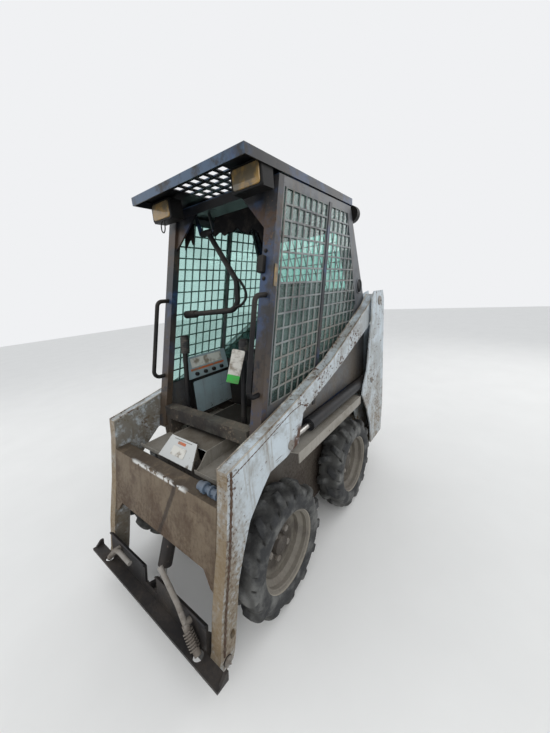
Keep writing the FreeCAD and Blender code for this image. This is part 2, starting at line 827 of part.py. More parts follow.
def lift_cylinder():
    base, eye = lift_points()
    body = barrel(base, eye, lift_barrel_radius, lift_barrel_length, lift_pin_radius,
                  cylinder_eye_width, lift_rod_radius)
    shaft = piston_rod(base, eye, lift_rod_radius, lift_eye_radius, lift_pin_radius,
                       cylinder_eye_width)
    return body, shaft


def attach_point(up, forward):
    """A point of the quick attach frame from its pin, as (x, z)."""
    lean = math.radians(attach_lean)
    x = foot_x + up * math.sin(lean) + forward * math.cos(lean)
    z = foot_z + up * math.cos(lean) - forward * math.sin(lean)
    return x, z


def tilt_points():
    x, z = attach_point(tilt_lug_height, 0.0)
    return vec(tilt_base_x, 0, tilt_base_z), vec(x, 0, z)


def tilt_cylinder():
    base, eye = tilt_points()
    body = barrel(base, eye, tilt_barrel_radius, tilt_barrel_length, tilt_pin_radius,
                  tilt_eye_width, tilt_rod_radius)
    shaft = piston_rod(base, eye, tilt_rod_radius, tilt_eye_radius, tilt_pin_radius,
                       tilt_eye_width)
    return body, shaft


# Quick attach frame

def attach_plate_xz(outline, y0, y1):
    return plate_xz([attach_point(up, forward) for up, forward in outline], y0, y1)


def attach_frame():
    """Face plate between the legs, a full width ledge in front of it, ears and pins."""
    back = attach_plate_offset
    front = back + attach_plate
    half = arm_inner_y - moving_gap
    face = attach_plate_xz([(-attach_below, back), (attach_above, back),
                            (attach_above + 10.0, front + 4.0), (attach_above + 6.0, front + 8.0),
                            (attach_above - 6.0, front), (-attach_below, front)], -half, half)
    notch = attach_plate_xz([(attach_notch_up, back - 30.0), (attach_above + 40.0, back - 30.0),
                             (attach_above + 40.0, front + 40.0), (attach_notch_up, front + 40.0)],
                            -attach_notch_half, attach_notch_half)
    eye_half = tilt_eye_width / 2 + running_gap
    slit = attach_plate_xz([(-5.0, back - 1.0), (attach_notch_up + 5.0, back - 1.0),
                            (attach_notch_up + 5.0, back + attach_plate * 0.7),
                            (-5.0, back + attach_plate * 0.7)], -eye_half, eye_half)
    face = face.cut(notch).cut(slit)
    ledge_top = attach_ledge_up + attach_plate
    ledge = attach_plate_xz([(attach_ledge_up, front), (ledge_top, front),
                             (ledge_top, attach_ledge_reach),
                             (attach_ledge_up, attach_ledge_reach)],
                            -attach_half_width, attach_half_width)
    x, z = attach_point(ledge_top, wedge_forward)
    for side in (1, -1):
        hole = Part.makeCylinder(wedge_radius + wedge_slot_gap, 60.0,
                                 vec(x, side * (wedge_y + 4.0), z - 30.0), vec(0, 0, 1))
        ledge = ledge.cut(hole)
    end_outline = [(attach_ledge_up, front), (ledge_top + attach_end_height, front),
                   (ledge_top + attach_end_height, front + 14.0), (ledge_top, front + 36.0)]
    ends = both_sides(attach_plate_xz(end_outline, attach_half_width - attach_plate,
                                      attach_half_width))
    ear_outline = [(-attach_below, back), (-26.0, -22.0), (0.0, -34.0), (26.0, -22.0),
                   (attach_above - 30.0, back)]
    ears = both_sides(attach_plate_xz(ear_outline, half - attach_ear, half))
    pins = both_sides(pin_y(foot_x, foot_z, coupler_pin_radius, half - attach_ear,
                            arm_outer_y + 4.0))
    lug_outline = [(-attach_below + 10.0, back), (tilt_lug_height - 22.0, -14.0),
                   (tilt_lug_height, -20.0), (tilt_lug_height + 22.0, -12.0),
                   (attach_notch_up, back)]
    lugs = both_sides(attach_plate_xz(lug_outline, eye_half, eye_half + tilt_lug))
    return joined([face, ledge] + ends + ears + pins + lugs)


def attach_levers():
    """Wedge levers in front of the face: the left one stands up, the right one lies down."""
    pieces = []
    for side, tip_up, tip_y in ((1, 250.0, 120.0), (-1, 116.0, 130.0)):
        pivot = (attach_above - 32.0, side * 268.0)
        elbow = (pivot[0] + 0.3 * (tip_up - pivot[0]) + 12.0, side * 226.0)
        tip = (tip_up, side * tip_y)
        route = []
        for up, y in (pivot, elbow, tip):
            x, z = attach_point(up, wedge_forward)
            route.append(vec(x, y, z))
        bar = [rod(route[0], route[1], 10.0), Part.makeSphere(10.0, route[1]),
               rod(route[1], route[2], 10.0)]
        x, z = attach_point(attach_ledge_up + attach_plate + 2.0, wedge_forward)
        wedge = rod(route[0], vec(x, side * (wedge_y + 4.0), z), wedge_radius)
        xa, za = attach_point(pivot[0], attach_plate_offset + attach_plate)
        boss = rod(vec(xa, pivot[1], za), route[0], 12.0)
        pieces.append(joined(bar + [wedge, boss]))
    return apart(pieces)


# Cab

def post_x(z):
    """The front face of the front posts, which lean back as they rise."""
    return cab_front_foot_x - cab_post_lean * (z - cab_floor_z)


def rear_edge_x(z):
    """The rear edge of the cab side, which slopes from the roof down and back."""
    share = (cab_top_z - z) / (cab_top_z - cab_rear_knee_z)
    return cab_rear_top_x + share * (cab_rear_bottom_x - cab_rear_top_x)


def mullion_x(z):
    """The middle of the leaning bar between the two side windows."""
    return mullion_top_x + cab_post_lean * (window_top_z - z)


def cab_pivot():
    """The hinge behind the cab on which it tilts back, as (x, z)."""
    return cab_rear_bottom_x - cab_hinge_back, cab_rear_knee_z - cab_bar / 2


def cab_frame():
    """Front posts, header, rear posts, beams, lower side rails and the hinge lugs."""
    foot_rear = post_x(cab_floor_z) - cab_post_depth
    inner = cab_half_width - cab_post_width
    face_y = cab_half_width - cab_wall
    post = prism([vec(foot_rear, inner, cab_floor_z), vec(foot_rear, cab_half_width, cab_floor_z),
                  vec(cab_front_foot_x, cab_half_width, cab_floor_z),
                  vec(cab_front_foot_x, inner, cab_floor_z)],
                 vec(post_x(cab_top_z) - cab_front_foot_x, 0, cab_top_z - cab_floor_z))
    header_z = cab_top_z - header_height
    header = box(post_x(cab_top_z) - cab_post_depth, post_x(cab_top_z), -inner, inner,
                 header_z, cab_top_z)
    corner_x = post_x(header_z) - corner_recess
    corner_foot = header_z - corner_height
    corner = prism([vec(corner_x, inner, header_z), vec(corner_x, inner - corner_reach, header_z),
                    vec(post_x(corner_foot) - corner_recess, inner, corner_foot)],
                   vec(-corner_plate, 0, 0))
    rail = box(cab_rear_bottom_x + cab_wall, foot_rear, frame_half_width - 2.0, face_y,
               cab_floor_z, cab_floor_z + cab_bar)
    rear_post = prism([vec(cab_rear_top_x, face_y - cab_bar + cab_wall, cab_top_z),
                       vec(cab_rear_top_x, face_y, cab_top_z),
                       vec(cab_rear_top_x + cab_bar, face_y, cab_top_z),
                       vec(cab_rear_top_x + cab_bar, face_y - cab_bar + cab_wall, cab_top_z)],
                      vec(cab_rear_bottom_x - cab_rear_top_x, 0, cab_rear_knee_z - cab_top_z))
    rear_leg = box(cab_rear_bottom_x, cab_rear_bottom_x + cab_bar, face_y - cab_bar + cab_wall,
                   face_y, cab_floor_z, cab_rear_knee_z)
    rear_beam = box(cab_rear_bottom_x, cab_rear_bottom_x + cab_bar, -face_y, face_y,
                    cab_rear_knee_z - cab_bar, cab_rear_knee_z)
    beam_half = face_y - cab_bar + cab_wall
    top_beam = box(cab_rear_top_x, cab_rear_top_x + cab_bar, -beam_half, beam_half,
                   cab_top_z - cab_bar, cab_top_z)
    pivot_x, pivot_z = cab_pivot()
    lug = plate_xz([(cab_rear_bottom_x, pivot_z - 15.0), (pivot_x - 8.0, pivot_z - 13.0),
                    (pivot_x - 14.0, pivot_z), (pivot_x - 8.0, pivot_z + 13.0),
                    (cab_rear_bottom_x, pivot_z + 15.0)], cab_hinge_y, cab_hinge_y + cab_hinge_plate)
    lug = lug.cut(pin_y(pivot_x, pivot_z, cab_hinge_pin + running_gap, cab_hinge_y - 5.0,
                        cab_hinge_y + cab_hinge_plate + 5.0))
    pieces = [header, rear_beam, top_beam] + bar_hanger()
    for piece in (post, corner, rail, rear_post, rear_leg, lug):
        pieces += both_sides(piece)
    return joined(pieces)


def cab_side():
    """One side sheet of the cab with its front and rear window cut out."""
    foot = cab_floor_z + cab_bar
    inner = cab_half_width - cab_wall
    outline = [(post_x(foot) - cab_post_depth, foot),
               (post_x(cab_top_z) - cab_post_depth, cab_top_z),
               (cab_rear_top_x, cab_top_z),
               (rear_edge_x(cab_rear_knee_z), cab_rear_knee_z),
               (cab_rear_bottom_x, foot)]
    side = plate_xz(outline, inner, cab_half_width)
    for window in side_windows():
        side = side.cut(plate_xz(window, inner - 1.0, cab_half_width + 1.0))
    return side


def side_windows():
    """Outlines of the two windows in a cab side as (x, z)."""
    half = mullion_width / 2
    rear_bottom = window_bottom_z + rear_window_rise
    rear_top_x = cab_rear_top_x + 38.0
    front_shift = window_front_top_x - mullion_top_x
    front = [(mullion_x(window_top_z) + half, window_top_z),
             (mullion_x(window_top_z) + front_shift, window_top_z),
             (mullion_x(window_bottom_z) + front_shift, window_bottom_z),
             (mullion_x(window_bottom_z) + half, window_bottom_z)]
    rear = [(rear_top_x, window_top_z),
            (mullion_x(window_top_z) - half, window_top_z),
            (mullion_x(rear_bottom) - half, rear_bottom),
            (mullion_x(rear_bottom) - half - rear_window_width, rear_bottom),
            (rear_top_x - rear_window_corner_back,
             window_bottom_z + rear_window_corner_rise)]
    return [front, rear]


def cab_glass():
    """Side window panes inside the sheets, and the pane behind the rear window."""
    y1 = cab_half_width - cab_wall - running_gap
    panes = []
    for window in side_windows():
        center_x = sum(x for x, z in window) / len(window)
        center_z = sum(z for x, z in window) / len(window)
        grown = []
        for x, z in window:
            grown.append((x + glass_lap * (1 if x > center_x else -1),
                          z + glass_lap * (1 if z > center_z else -1)))
        panes += both_sides(plate_xz(grown, y1 - glass_thickness, y1))
    low = rear_window_low_z - 2.5 * glass_lap
    high = rear_window_high_z + 2.5 * glass_lap
    half = rear_window_half + 2.5 * glass_lap
    offset = rear_panel_inset + rear_sheet + running_gap
    foot_x0 = rear_edge_x(low) + offset
    head_x0 = rear_edge_x(high) + offset
    pane = prism([vec(foot_x0, -half, low), vec(head_x0, -half, high),
                  vec(head_x0 + glass_thickness, -half, high),
                  vec(foot_x0 + glass_thickness, -half, low)], vec(0, 2 * half, 0))
    panes.append(pane)
    return apart(panes)


def cab_roof():
    half = cab_half_width + roof_overhang
    under = roof_top_z - roof_plate
    low = roof_top_z - roof_lip
    top = box(roof_rear_x, roof_front_x, -half, half, under, roof_top_z)
    lip = box(roof_front_x - roof_plate, roof_front_x, -half, half, low, roof_top_z)
    rail = box(roof_rear_x, roof_front_x, half - roof_plate, half, low, roof_top_z)
    back = box(roof_rear_x, roof_rear_x + roof_plate, -half, half, low, roof_top_z)
    liner = box(cab_rear_top_x, roof_liner_front_x, -cab_half_width + roof_plate,
                cab_half_width - roof_plate, cab_top_z, under)
    for row in range(roof_hole_rows):
        for column in range(roof_hole_columns):
            x = roof_hole_front_x - row * roof_hole_pitch
            y = roof_hole_middle_y + (column - (roof_hole_columns - 1) / 2) * roof_hole_pitch
            top = top.cut(box(x - roof_hole / 2, x + roof_hole / 2, y - roof_hole / 2,
                              y + roof_hole / 2, under - 1.0, roof_top_z + 1.0))
    return joined([top, lip, back] + both_sides(rail) + [liner])


def cab_rear_panel():
    """Sheet behind the driver: sloping upper part with a window, upright lower part."""
    half = cab_half_width - cab_bar
    top = cab_top_z - cab_bar
    head_x = rear_edge_x(top) + rear_panel_inset
    foot_x = cab_rear_bottom_x + rear_panel_inset
    slope = prism([vec(head_x, -half, top), vec(head_x + rear_sheet, -half, top),
                   vec(foot_x + rear_sheet, -half, cab_rear_knee_z),
                   vec(foot_x, -half, cab_rear_knee_z)], vec(0, 2 * half, 0))
    slope = slope.cut(box(cab_rear_bottom_x, cab_rear_top_x + 100.0, -rear_window_half,
                          rear_window_half, rear_window_low_z, rear_window_high_z))
    lower = box(cab_rear_bottom_x, cab_rear_bottom_x + cab_wall, -half, half,
                cab_floor_z, cab_rear_knee_z - cab_bar)
    return apart([slope, lower])


def cab_floor():
    """Floor pan under the seat and the low consoles beside the driver's legs."""
    half = frame_half_width - 2.0
    top = cab_floor_z + sheet
    floor = box(cab_rear_bottom_x + cab_wall, seat_box_front_x, -half, half, cab_floor_z, top)
    console = box(-console_half_length, console_half_length, half - console_width, half,
                  top, cab_floor_z + console_height)
    return joined([floor] + both_sides(console))


def seat_back_foot():
    """The foot of the back cushion's rear face, as (x, z)."""
    z = cab_floor_z + seat_box_height + seat_bottom_height + 2.0
    return seat_box_front_x - seat_bottom_length - 5.0, z


def seat_pan():
    """Box under the seat and the plate behind the back cushion that stands on it."""
    x, z = seat_back_foot()
    top = z + seat_back_height
    middle = cab_floor_z + seat_box_height / 2
    half = seat_half - 5.0
    front = x - 0.5
    rear = front - seat_back_plate
    base = box(seat_box_rear_x, seat_box_front_x, -seat_box_half, seat_box_half,
               cab_floor_z + sheet, cab_floor_z + seat_box_height)
    back = prism([vec(rear, -half, middle), vec(front, -half, middle), vec(front, -half, z),
                  vec(front - seat_back_lean, -half, top), vec(rear - seat_back_lean, -half, top),
                  vec(rear, -half, z)], vec(0, 2 * half, 0))
    return joined([base, back])


def seat_cushions():
    """The bottom cushion on the box and the back cushion that leans on its plate."""
    x, z = seat_back_foot()
    top = z + seat_back_height
    box_top = cab_floor_z + seat_box_height
    bottom = box(seat_box_front_x - seat_bottom_length, seat_box_front_x, -seat_half, seat_half,
                 box_top + running_gap, box_top + seat_bottom_height)
    back = prism([vec(x, -seat_half, z), vec(x + seat_back_thickness, -seat_half, z),
                  vec(x + seat_back_thickness - seat_back_lean, -seat_half, top),
                  vec(x - seat_back_lean, -seat_half, top)], vec(0, 2 * seat_half, 0))
    return apart([bottom, back])


def work_lamps():
    """Two front lamps under the roof's overhang and one round lamp at the rear left."""
    lamps = []
    under = roof_top_z - roof_plate
    high = under - lamp_drop
    middle_x = lamp_front_x - lamp_depth / 2
    for side in (1, -1):
        y = side * lamp_middle_y
        body = box(lamp_front_x - lamp_depth, lamp_front_x, y - lamp_half_width,
                   y + lamp_half_width, high - lamp_height, high)
        stem = box(middle_x - lamp_stem_half, middle_x + lamp_stem_half, y - lamp_stem_half,
                   y + lamp_stem_half, high, under)
        lamps.append(joined([body, stem]))
    rear_z = roof_top_z - 70.0
    rear = Part.makeCylinder(rear_lamp_radius, rear_lamp_depth,
                             vec(roof_rear_x - rear_lamp_arm - rear_lamp_depth + 4.0, rear_lamp_y,
                                 rear_z), vec(1, 0, 0))
    arm_bar = box(roof_rear_x - rear_lamp_arm, roof_rear_x, rear_lamp_y - 12.0,
                  rear_lamp_y + 12.0, rear_z, roof_top_z - 8.0)
    lamps.append(joined([rear, arm_bar]))
    return apart(lamps)


def grab_handles():
    """Bent tube handles on the front faces of the front posts."""
    y = cab_half_width - handle_inset
    sunk = 8.0
    points = [vec(post_x(handle_top_z) - sunk, y, handle_top_z),
              vec(post_x(handle_top_z) + handle_reach, y, handle_top_z),
              vec(post_x(handle_bottom_z) + handle_reach, y, handle_bottom_z),
              vec(post_x(handle_bottom_z) - sunk, y, handle_bottom_z)]
    tube = bent_tube(points, handle_radius, handle_bend)
    foot_rear = post_x(cab_floor_z) - cab_post_depth
    inside = prism([vec(foot_rear, y - 2 * handle_radius, cab_floor_z),
                    vec(foot_rear, y + 2 * handle_radius, cab_floor_z),
                    vec(cab_front_foot_x, y + 2 * handle_radius, cab_floor_z),
                    vec(cab_front_foot_x, y - 2 * handle_radius, cab_floor_z)],
                   vec(post_x(cab_top_z) - cab_front_foot_x, 0, cab_top_z - cab_floor_z))
    return apart(both_sides(tube.cut(inside)))


def seat_bar():
    """Loop over the driver's lap, hung from a pivot tube below the header."""
    radius = 13.0
    pivot_x, pivot_z = bar_pivot()
    points = [vec(pivot_x, -150.0, pivot_z), vec(pivot_x + 70.0, 80.0, 1410.0),
              vec(pivot_x + 100.0, 100.0, 1280.0), vec(pivot_x + 120.0, -250.0, 1262.0)]
    tube = bent_tube(points, radius, 45.0)
    sleeve = pin_y(pivot_x, pivot_z, bar_sleeve_radius, -190.0, -110.0)
    bore = pin_y(pivot_x, pivot_z, bar_pin_radius + running_gap, -260.0, 260.0)
    latch = rod(vec(pivot_x + 112.0, -190.0, 1265.0), vec(pivot_x + 120.0, -262.0, 1262.0), 20.0)
    return joined([tube, sleeve, latch]).cut(bore)


def bar_pivot():
    """The axis on which the seat bar swings, below and behind the header, as (x, z)."""
    return post_x(cab_top_z) - cab_post_depth - 30.0, cab_top_z - bar_pivot_drop


def bar_hanger():
    """Pin of the seat bar and the two plates that carry it below the header."""
    pivot_x, pivot_z = bar_pivot()
    header_rear = post_x(cab_top_z) - cab_post_depth
    header_z = cab_top_z - header_height
    pieces = [pin_y(pivot_x, pivot_z, bar_pin_radius, -202.0, -98.0)]
    for y in (-190.0 - moving_gap - 6.0, -110.0 + moving_gap):
        pieces.append(plate_xz([(pivot_x - 14.0, pivot_z - 4.0), (pivot_x, pivot_z - 15.0),
                                (pivot_x + 14.0, pivot_z - 4.0), (header_rear, header_z + 6.0),
                                (header_rear, header_z + 40.0)], y, y + 6.0))
    return pieces


# Rear door and engine cover

def rear_door():
    door = box(door_rear_x, door_rear_x + door_thickness, -door_half_width, door_half_width,
               door_bottom_z, door_top_z)
    return joined([door] + door_hinge(door_half_width - 16.0, hinge_y, 0))


def tail_lamps():
    x1 = upright_rear_x + upright_back_inset
    y = (upright_inner_y + upright_outer_y) / 2
    lamp = Part.makeCylinder(38.0, 24.0, vec(x1 - 24.0, y, 900.0), vec(1, 0, 0))
    return apart(both_sides(lamp))


def cover_axis():
    """The hinge of the engine cover near its rear edge, as (x, z)."""
    return cover_rear_x + 10.0, cover_bottom_z + cover_thickness / 2


def engine_cover():
    """Slatted lid over the engine between the uprights, with a hinge pin at each side."""
    lid = box(cover_rear_x, cover_front_x, -door_half_width, door_half_width,
              cover_bottom_z, cover_bottom_z + cover_thickness)
    x, z = cover_axis()
    pin = pin_y(x, z, cover_pin_radius, door_half_width, upright_inner_y + upright_plate)
    return joined([lid] + both_sides(pin))


def build():
    nodes = wheels()
    lift_body, lift_shaft = lift_cylinder()
    tilt_body, tilt_shaft = tilt_cylinder()
    left_arm = arm()
    left_upright = upright()
    left_side = cab_side()
    nodes["lower_frame"] = lower_frame()
    nodes["axle_housings"] = axle_housings()
    nodes["fenders"] = fenders()
    nodes["toe_pans"] = toe_pans()
    nodes["center_step"] = center_step()
    nodes["upright_left"] = left_upright
    nodes["upright_right"] = mirrored(upright())
    nodes["tail_frame"] = tail_frame()
    nodes["engine_block"] = engine_block()
    nodes["arm_left"] = left_arm
    nodes["arm_right"] = mirrored(left_arm)
    nodes["cross_member"] = cross_member()
    nodes["hose_coupler"] = hose_coupler()
    nodes["lift_barrel_left"] = lift_body
    nodes["lift_barrel_right"] = mirrored(lift_body)
    nodes["lift_rod_left"] = lift_shaft
    nodes["lift_rod_right"] = mirrored(lift_shaft)
    nodes["tilt_barrel"] = tilt_body
    nodes["tilt_rod"] = tilt_shaft
    nodes["attach_frame"] = attach_frame()
    nodes["attach_levers"] = attach_levers()
    nodes["cab_frame"] = cab_frame()
    nodes["cab_side_left"] = left_side
    nodes["cab_side_right"] = mirrored(left_side)
    nodes["cab_glass"] = cab_glass()
    nodes["cab_roof"] = cab_roof()
    nodes["cab_rear_panel"] = cab_rear_panel()
    nodes["cab_floor"] = cab_floor()
    nodes["seat_pan"] = seat_pan()
    nodes["seat_cushions"] = seat_cushions()
    nodes["work_lamps"] = work_lamps()
    nodes["grab_handles"] = grab_handles()
    nodes["seat_bar"] = seat_bar()
    nodes["front_sill"] = front_sill()
    nodes["control_levers"] = control_levers()
    nodes["rear_door"] = rear_door()
    nodes["tail_lamps"] = tail_lamps()
    nodes["engine_cover"] = engine_cover()
    return nodes


def under_middle(nodes):
    """The point on the floor under the middle of the whole machine."""
    reach = Part.makeCompound(list(nodes.values())).BoundBox
    return vec((reach.XMin + reach.XMax) / 2, 0, reach.ZMin)


def main():
    os.makedirs("parts", exist_ok=True)
    nodes = build()
    origin = under_middle(nodes)
    for name, shape in nodes.items():
        placed = shape.copy()
        placed.translate(origin * -1)
        placed.exportStep(os.path.join("parts", name + ".step"))
        print(name, "volume", round(placed.Volume), "solids", len(placed.Solids),
              "valid", placed.isValid())
    print("origin", origin)


main()
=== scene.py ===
import math

import bmesh
import bpy
import numpy as np
from mathutils import Matrix, Vector


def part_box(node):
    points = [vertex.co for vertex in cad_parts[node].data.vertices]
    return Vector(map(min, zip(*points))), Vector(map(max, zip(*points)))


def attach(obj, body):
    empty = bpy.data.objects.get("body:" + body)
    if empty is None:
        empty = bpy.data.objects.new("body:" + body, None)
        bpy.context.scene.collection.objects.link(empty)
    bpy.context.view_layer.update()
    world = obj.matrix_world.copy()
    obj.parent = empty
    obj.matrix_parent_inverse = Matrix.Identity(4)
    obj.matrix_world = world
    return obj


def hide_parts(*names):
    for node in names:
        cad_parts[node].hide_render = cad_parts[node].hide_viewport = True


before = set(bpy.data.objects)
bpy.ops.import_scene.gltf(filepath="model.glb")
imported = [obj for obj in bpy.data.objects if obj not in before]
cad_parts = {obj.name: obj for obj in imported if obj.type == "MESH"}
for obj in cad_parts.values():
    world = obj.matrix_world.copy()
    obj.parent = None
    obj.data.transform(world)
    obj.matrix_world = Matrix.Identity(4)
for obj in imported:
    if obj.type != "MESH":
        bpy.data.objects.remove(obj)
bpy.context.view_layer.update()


# Where things are
# All sizes are metres. The machine's own zero is halfway between its axles, on its centre line and
# on the ground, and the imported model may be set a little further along, so points are moved there.
def tyre_middle_x():
    """The mean of the four tyres' middles along the machine."""
    names = [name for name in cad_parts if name.startswith("tyre_")]
    return sum(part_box(name)[0].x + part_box(name)[1].x for name in names) / (2 * len(names))


middle_x = tyre_middle_x()


def placed(points):
    """Points on the machine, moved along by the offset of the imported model."""
    return np.asarray(points, dtype=float) + np.array([middle_x, 0.0, 0.0])


# Camera, studio light and floor
# A wide lens close to the machine's front left corner, head high, as the photograph was taken. The
# light is even and soft, and the floor and the backdrop are pale.
image_width = 550
image_height = 733
focal_pixels = 279.63
camera_place = (1.1178, 1.0204, 1.3528)
camera_right = (-0.5948, 0.8007, -0.0717)
camera_down = (0.2520, 0.1011, -0.9624)
camera_forward = (-0.7634, -0.5905, -0.2619)

camera_data = bpy.data.cameras.new("camera")
camera_data.sensor_width = 36.0
camera_data.lens = focal_pixels * camera_data.sensor_width / max(image_width, image_height)
camera_data.clip_start = 0.02
camera = bpy.data.objects.new("camera", camera_data)
camera.matrix_world = Matrix.Translation(placed(camera_place)) @ Matrix((
    (camera_right[0], -camera_down[0], -camera_forward[0], 0),
    (camera_right[1], -camera_down[1], -camera_forward[1], 0),
    (camera_right[2], -camera_down[2], -camera_forward[2], 0),
    (0, 0, 0, 1),
))
bpy.context.scene.collection.objects.link(camera)
bpy.context.scene.camera = camera
bpy.context.scene.view_settings.view_transform = "Standard"


def soft_lamp(name, place, target, size, power):
    """A square sheet of light at a place, turned towards a target."""
    data = bpy.data.lights.new(name, "AREA")
    data.size = size
    data.energy = power
    lamp = bpy.data.objects.new(name, data)
    away = Vector(place) - Vector(target)
    lamp.matrix_world = Matrix.Translation(place) @ away.to_track_quat("Z", "Y").to_matrix().to_4x4()
    bpy.context.scene.collection.objects.link(lamp)


soft_lamp("sky_left", (3.0, 3.2, 3.6), (0.0, 0.0, 0.8), 3.0, 60)
soft_lamp("sky_right", (2.6, -3.4, 3.0), (0.0, 0.0, 0.8), 3.0, 30)
soft_lamp("sky_back", (-4.0, 2.4, 3.4), (0.0, 0.0, 0.9), 3.0, 45)


class Shade:
    """One output of a tree of nodes. An arithmetic sign between two of them, or between one and a
    number, adds the Math node that works it out."""

    def __init__(self, owner, socket):
        self.owner = owner
        self.socket = socket

    def maths(self, operation, first, second):
        return self.owner.node("ShaderNodeMath", {"operation": operation}, {0: first, 1: second})

    def __add__(self, other):
        return self.maths("ADD", self, other)

    def __sub__(self, other):
        return self.maths("SUBTRACT", self, other)

    def __mul__(self, other):
        return self.maths("MULTIPLY", self, other)

    def __pow__(self, other):
        return self.maths("POWER", self, other)

    def __rsub__(self, other):
        return self.maths("SUBTRACT", other, self)

    __radd__ = __add__
    __rmul__ = __mul__

    def size(self):
        return self.maths("ABSOLUTE", self, 0.0)

    def most(self, other):
        return self.maths("MAXIMUM", self, other)

    def least(self, other):
        return self.maths("MINIMUM", self, other)


class Nodes:
    """A tree of nodes that is filled one node at a time."""

    def __init__(self, tree):
        self.tree = tree

    def node(self, kind, settings=(), values=(), out=0):
        """Adds a node, makes its settings, fills its sockets and gives one output."""
        made = self.tree.nodes.new(kind)
        for name, value in dict(settings).items():
            setattr(made, name, value)
        for key, value in dict(values).items():
            self.join(made.inputs[key], value)
        return Shade(self, made.outputs[out])

    def join(self, socket, value):
        if isinstance(value, Shade):
            self.tree.links.new(value.socket, socket)
        else:
            socket.default_value = value


class Finish(Nodes):
    """A material built up from nodes round one Principled shader."""

    def __init__(self, name, **constants):
        self.material = bpy.data.materials.new(name)
        self.material.use_nodes = True
        super().__init__(self.material.node_tree)
        self.shader = self.tree.nodes["Principled BSDF"]
        self.set(**constants)
        self.place = self.node("ShaderNodeTexCoord", out="Object")

    def set(self, **sockets):
        """Fills the shader's sockets: base_color is the one called Base Color."""
        for name, value in sockets.items():
            socket = name.replace("_", " ").title().replace("Ior", "IOR")
            self.join(self.shader.inputs[socket], value)

    def axis(self, letter):
        return self.node("ShaderNodeSeparateXYZ", values={0: self.place}, out=letter)

    def facing(self, letter, sign=1.0):
        """How far a face looks along an axis, from 0 to 1, or against it where the sign is -1."""
        normal = self.node("ShaderNodeNewGeometry", out="Normal")
        return (sign * self.node("ShaderNodeSeparateXYZ", values={0: normal}, out=letter)).most(0.0)

    def noise(self, scale, detail=4.0, stretch=(1.0, 1.0, 1.0), rough=0.55, shift=(0.0, 0.0, 0.0)):
        """Cloudy values round a half, a scale of 10 having patches of about a tenth of a metre."""
        spot = self.node("ShaderNodeMapping", values={0: self.place, "Scale": stretch, "Location": shift})
        return self.node(
            "ShaderNodeTexNoise",
            values={"Vector": spot, "Scale": scale, "Detail": detail, "Roughness": rough},
        )

    def ease(self, value, low, high, start=0.0, end=1.0):
        """A smooth change from start to end as the value goes from low to high."""
        return self.node(
            "ShaderNodeMapRange",
            {"interpolation_type": "SMOOTHSTEP"},
            {0: value, 1: low, 2: high, 3: start, 4: end},
        )

    def mix(self, first, second, share):
        return self.node("ShaderNodeMix", {"data_type": "RGBA"}, {0: share, 6: first, 7: second}, out=2)

    def relief(self, height, depth):
        """Raises the surface by a height from 0 to 1 times a depth in metres."""
        self.set(normal=self.node("ShaderNodeBump", values={"Distance": depth, "Height": height}))

    def ribs(self, scale, depth):
        """Upright ribs, as they are moulded in a lens."""
        wave = {0: self.place, "Scale": scale, "Distortion": 0.0}
        self.relief(self.node("ShaderNodeTexWave", {"bands_direction": "Y"}, wave), depth)


def mottled(name, first, second, scale, detail=4.0, edges=None, haze=None, **constants):
    """A finish of two colours that clouds mix. Edges are the clouds' values at which one colour
    begins to give way to the other and has done so. Haze is a roughness, and the scale and the
    rise of the clouds that add to it."""
    made = Finish(name, **constants)
    clouds = made.noise(scale, detail)
    made.set(base_color=made.mix(first, second, made.ease(clouds, *edges) if edges else clouds))
    if haze:
        start, haze_scale, rise = haze
        made.set(roughness=start + made.noise(haze_scale) * rise)
    return made


def colour(red, green, blue):
    """A colour as a screen shows it, from 0 to 255, as the linear light that a shader takes."""
    parts = [c / 255.0 for c in (red, green, blue)]
    return tuple(c / 12.92 if c <= 0.04045 else ((c + 0.055) / 1.055) ** 2.4 for c in parts) + (1.0,)


def mesh_of(name, points, faces):
    """A new object of its own mesh, linked to the scene and smooth."""
    mesh = bpy.data.meshes.new(name)
    mesh.from_pydata(np.asarray(points).tolist(), [], [list(map(int, face)) for face in faces])
    mesh.validate()
    mesh.shade_smooth()
    made = bpy.data.objects.new(name, mesh)
    bpy.context.scene.collection.objects.link(made)
    return made


def fitted(piece, finish, body):
    """Gives a piece its material and the body that it rides on."""
    piece.data.materials.append(finish.material)
    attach(piece, body)
    return piece


def dressed(finish, *names):
    """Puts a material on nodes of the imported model."""
    for name in names:
        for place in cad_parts[name].material_slots:
            place.material = finish.material


floor_half = 14.0
floor_corners = floor_half * np.array([(-1, -1, 0), (1, -1, 0), (1, 1, 0), (-1, 1, 0)])
floor = mesh_of("floor", floor_corners, [(0, 1, 2, 3)])
floor_finish = mottled("pale_floor", colour(228, 227, 224), colour(236, 235, 232), 3.0, roughness=0.85)
floor.data.materials.append(floor_finish.material)

world = bpy.data.worlds.new("studio")
bpy.context.scene.world = world
world.use_nodes = True
studio = Nodes(world.node_tree)
sky = studio.tree.nodes["Background"]
sky.inputs["Color"].default_value = (0.93, 0.96, 1.0, 1.0)
sky.inputs["Strength"].default_value = 0.85
backdrop = studio.node("ShaderNodeBackground", values={"Color": colour(240, 241, 243)})
seen, mirrored, through = (
    studio.node("ShaderNodeLightPath", out=ray)
    for ray in ("Is Camera Ray", "Is Glossy Ray", "Is Transmission Ray")
)
light = studio.node("ShaderNodeMixShader", values={
    0: seen.most(mirrored).most(through), 1: Shade(studio, sky.outputs[0]), 2: backdrop,
})
studio.join(studio.tree.nodes["World Output"].inputs["Surface"], light)
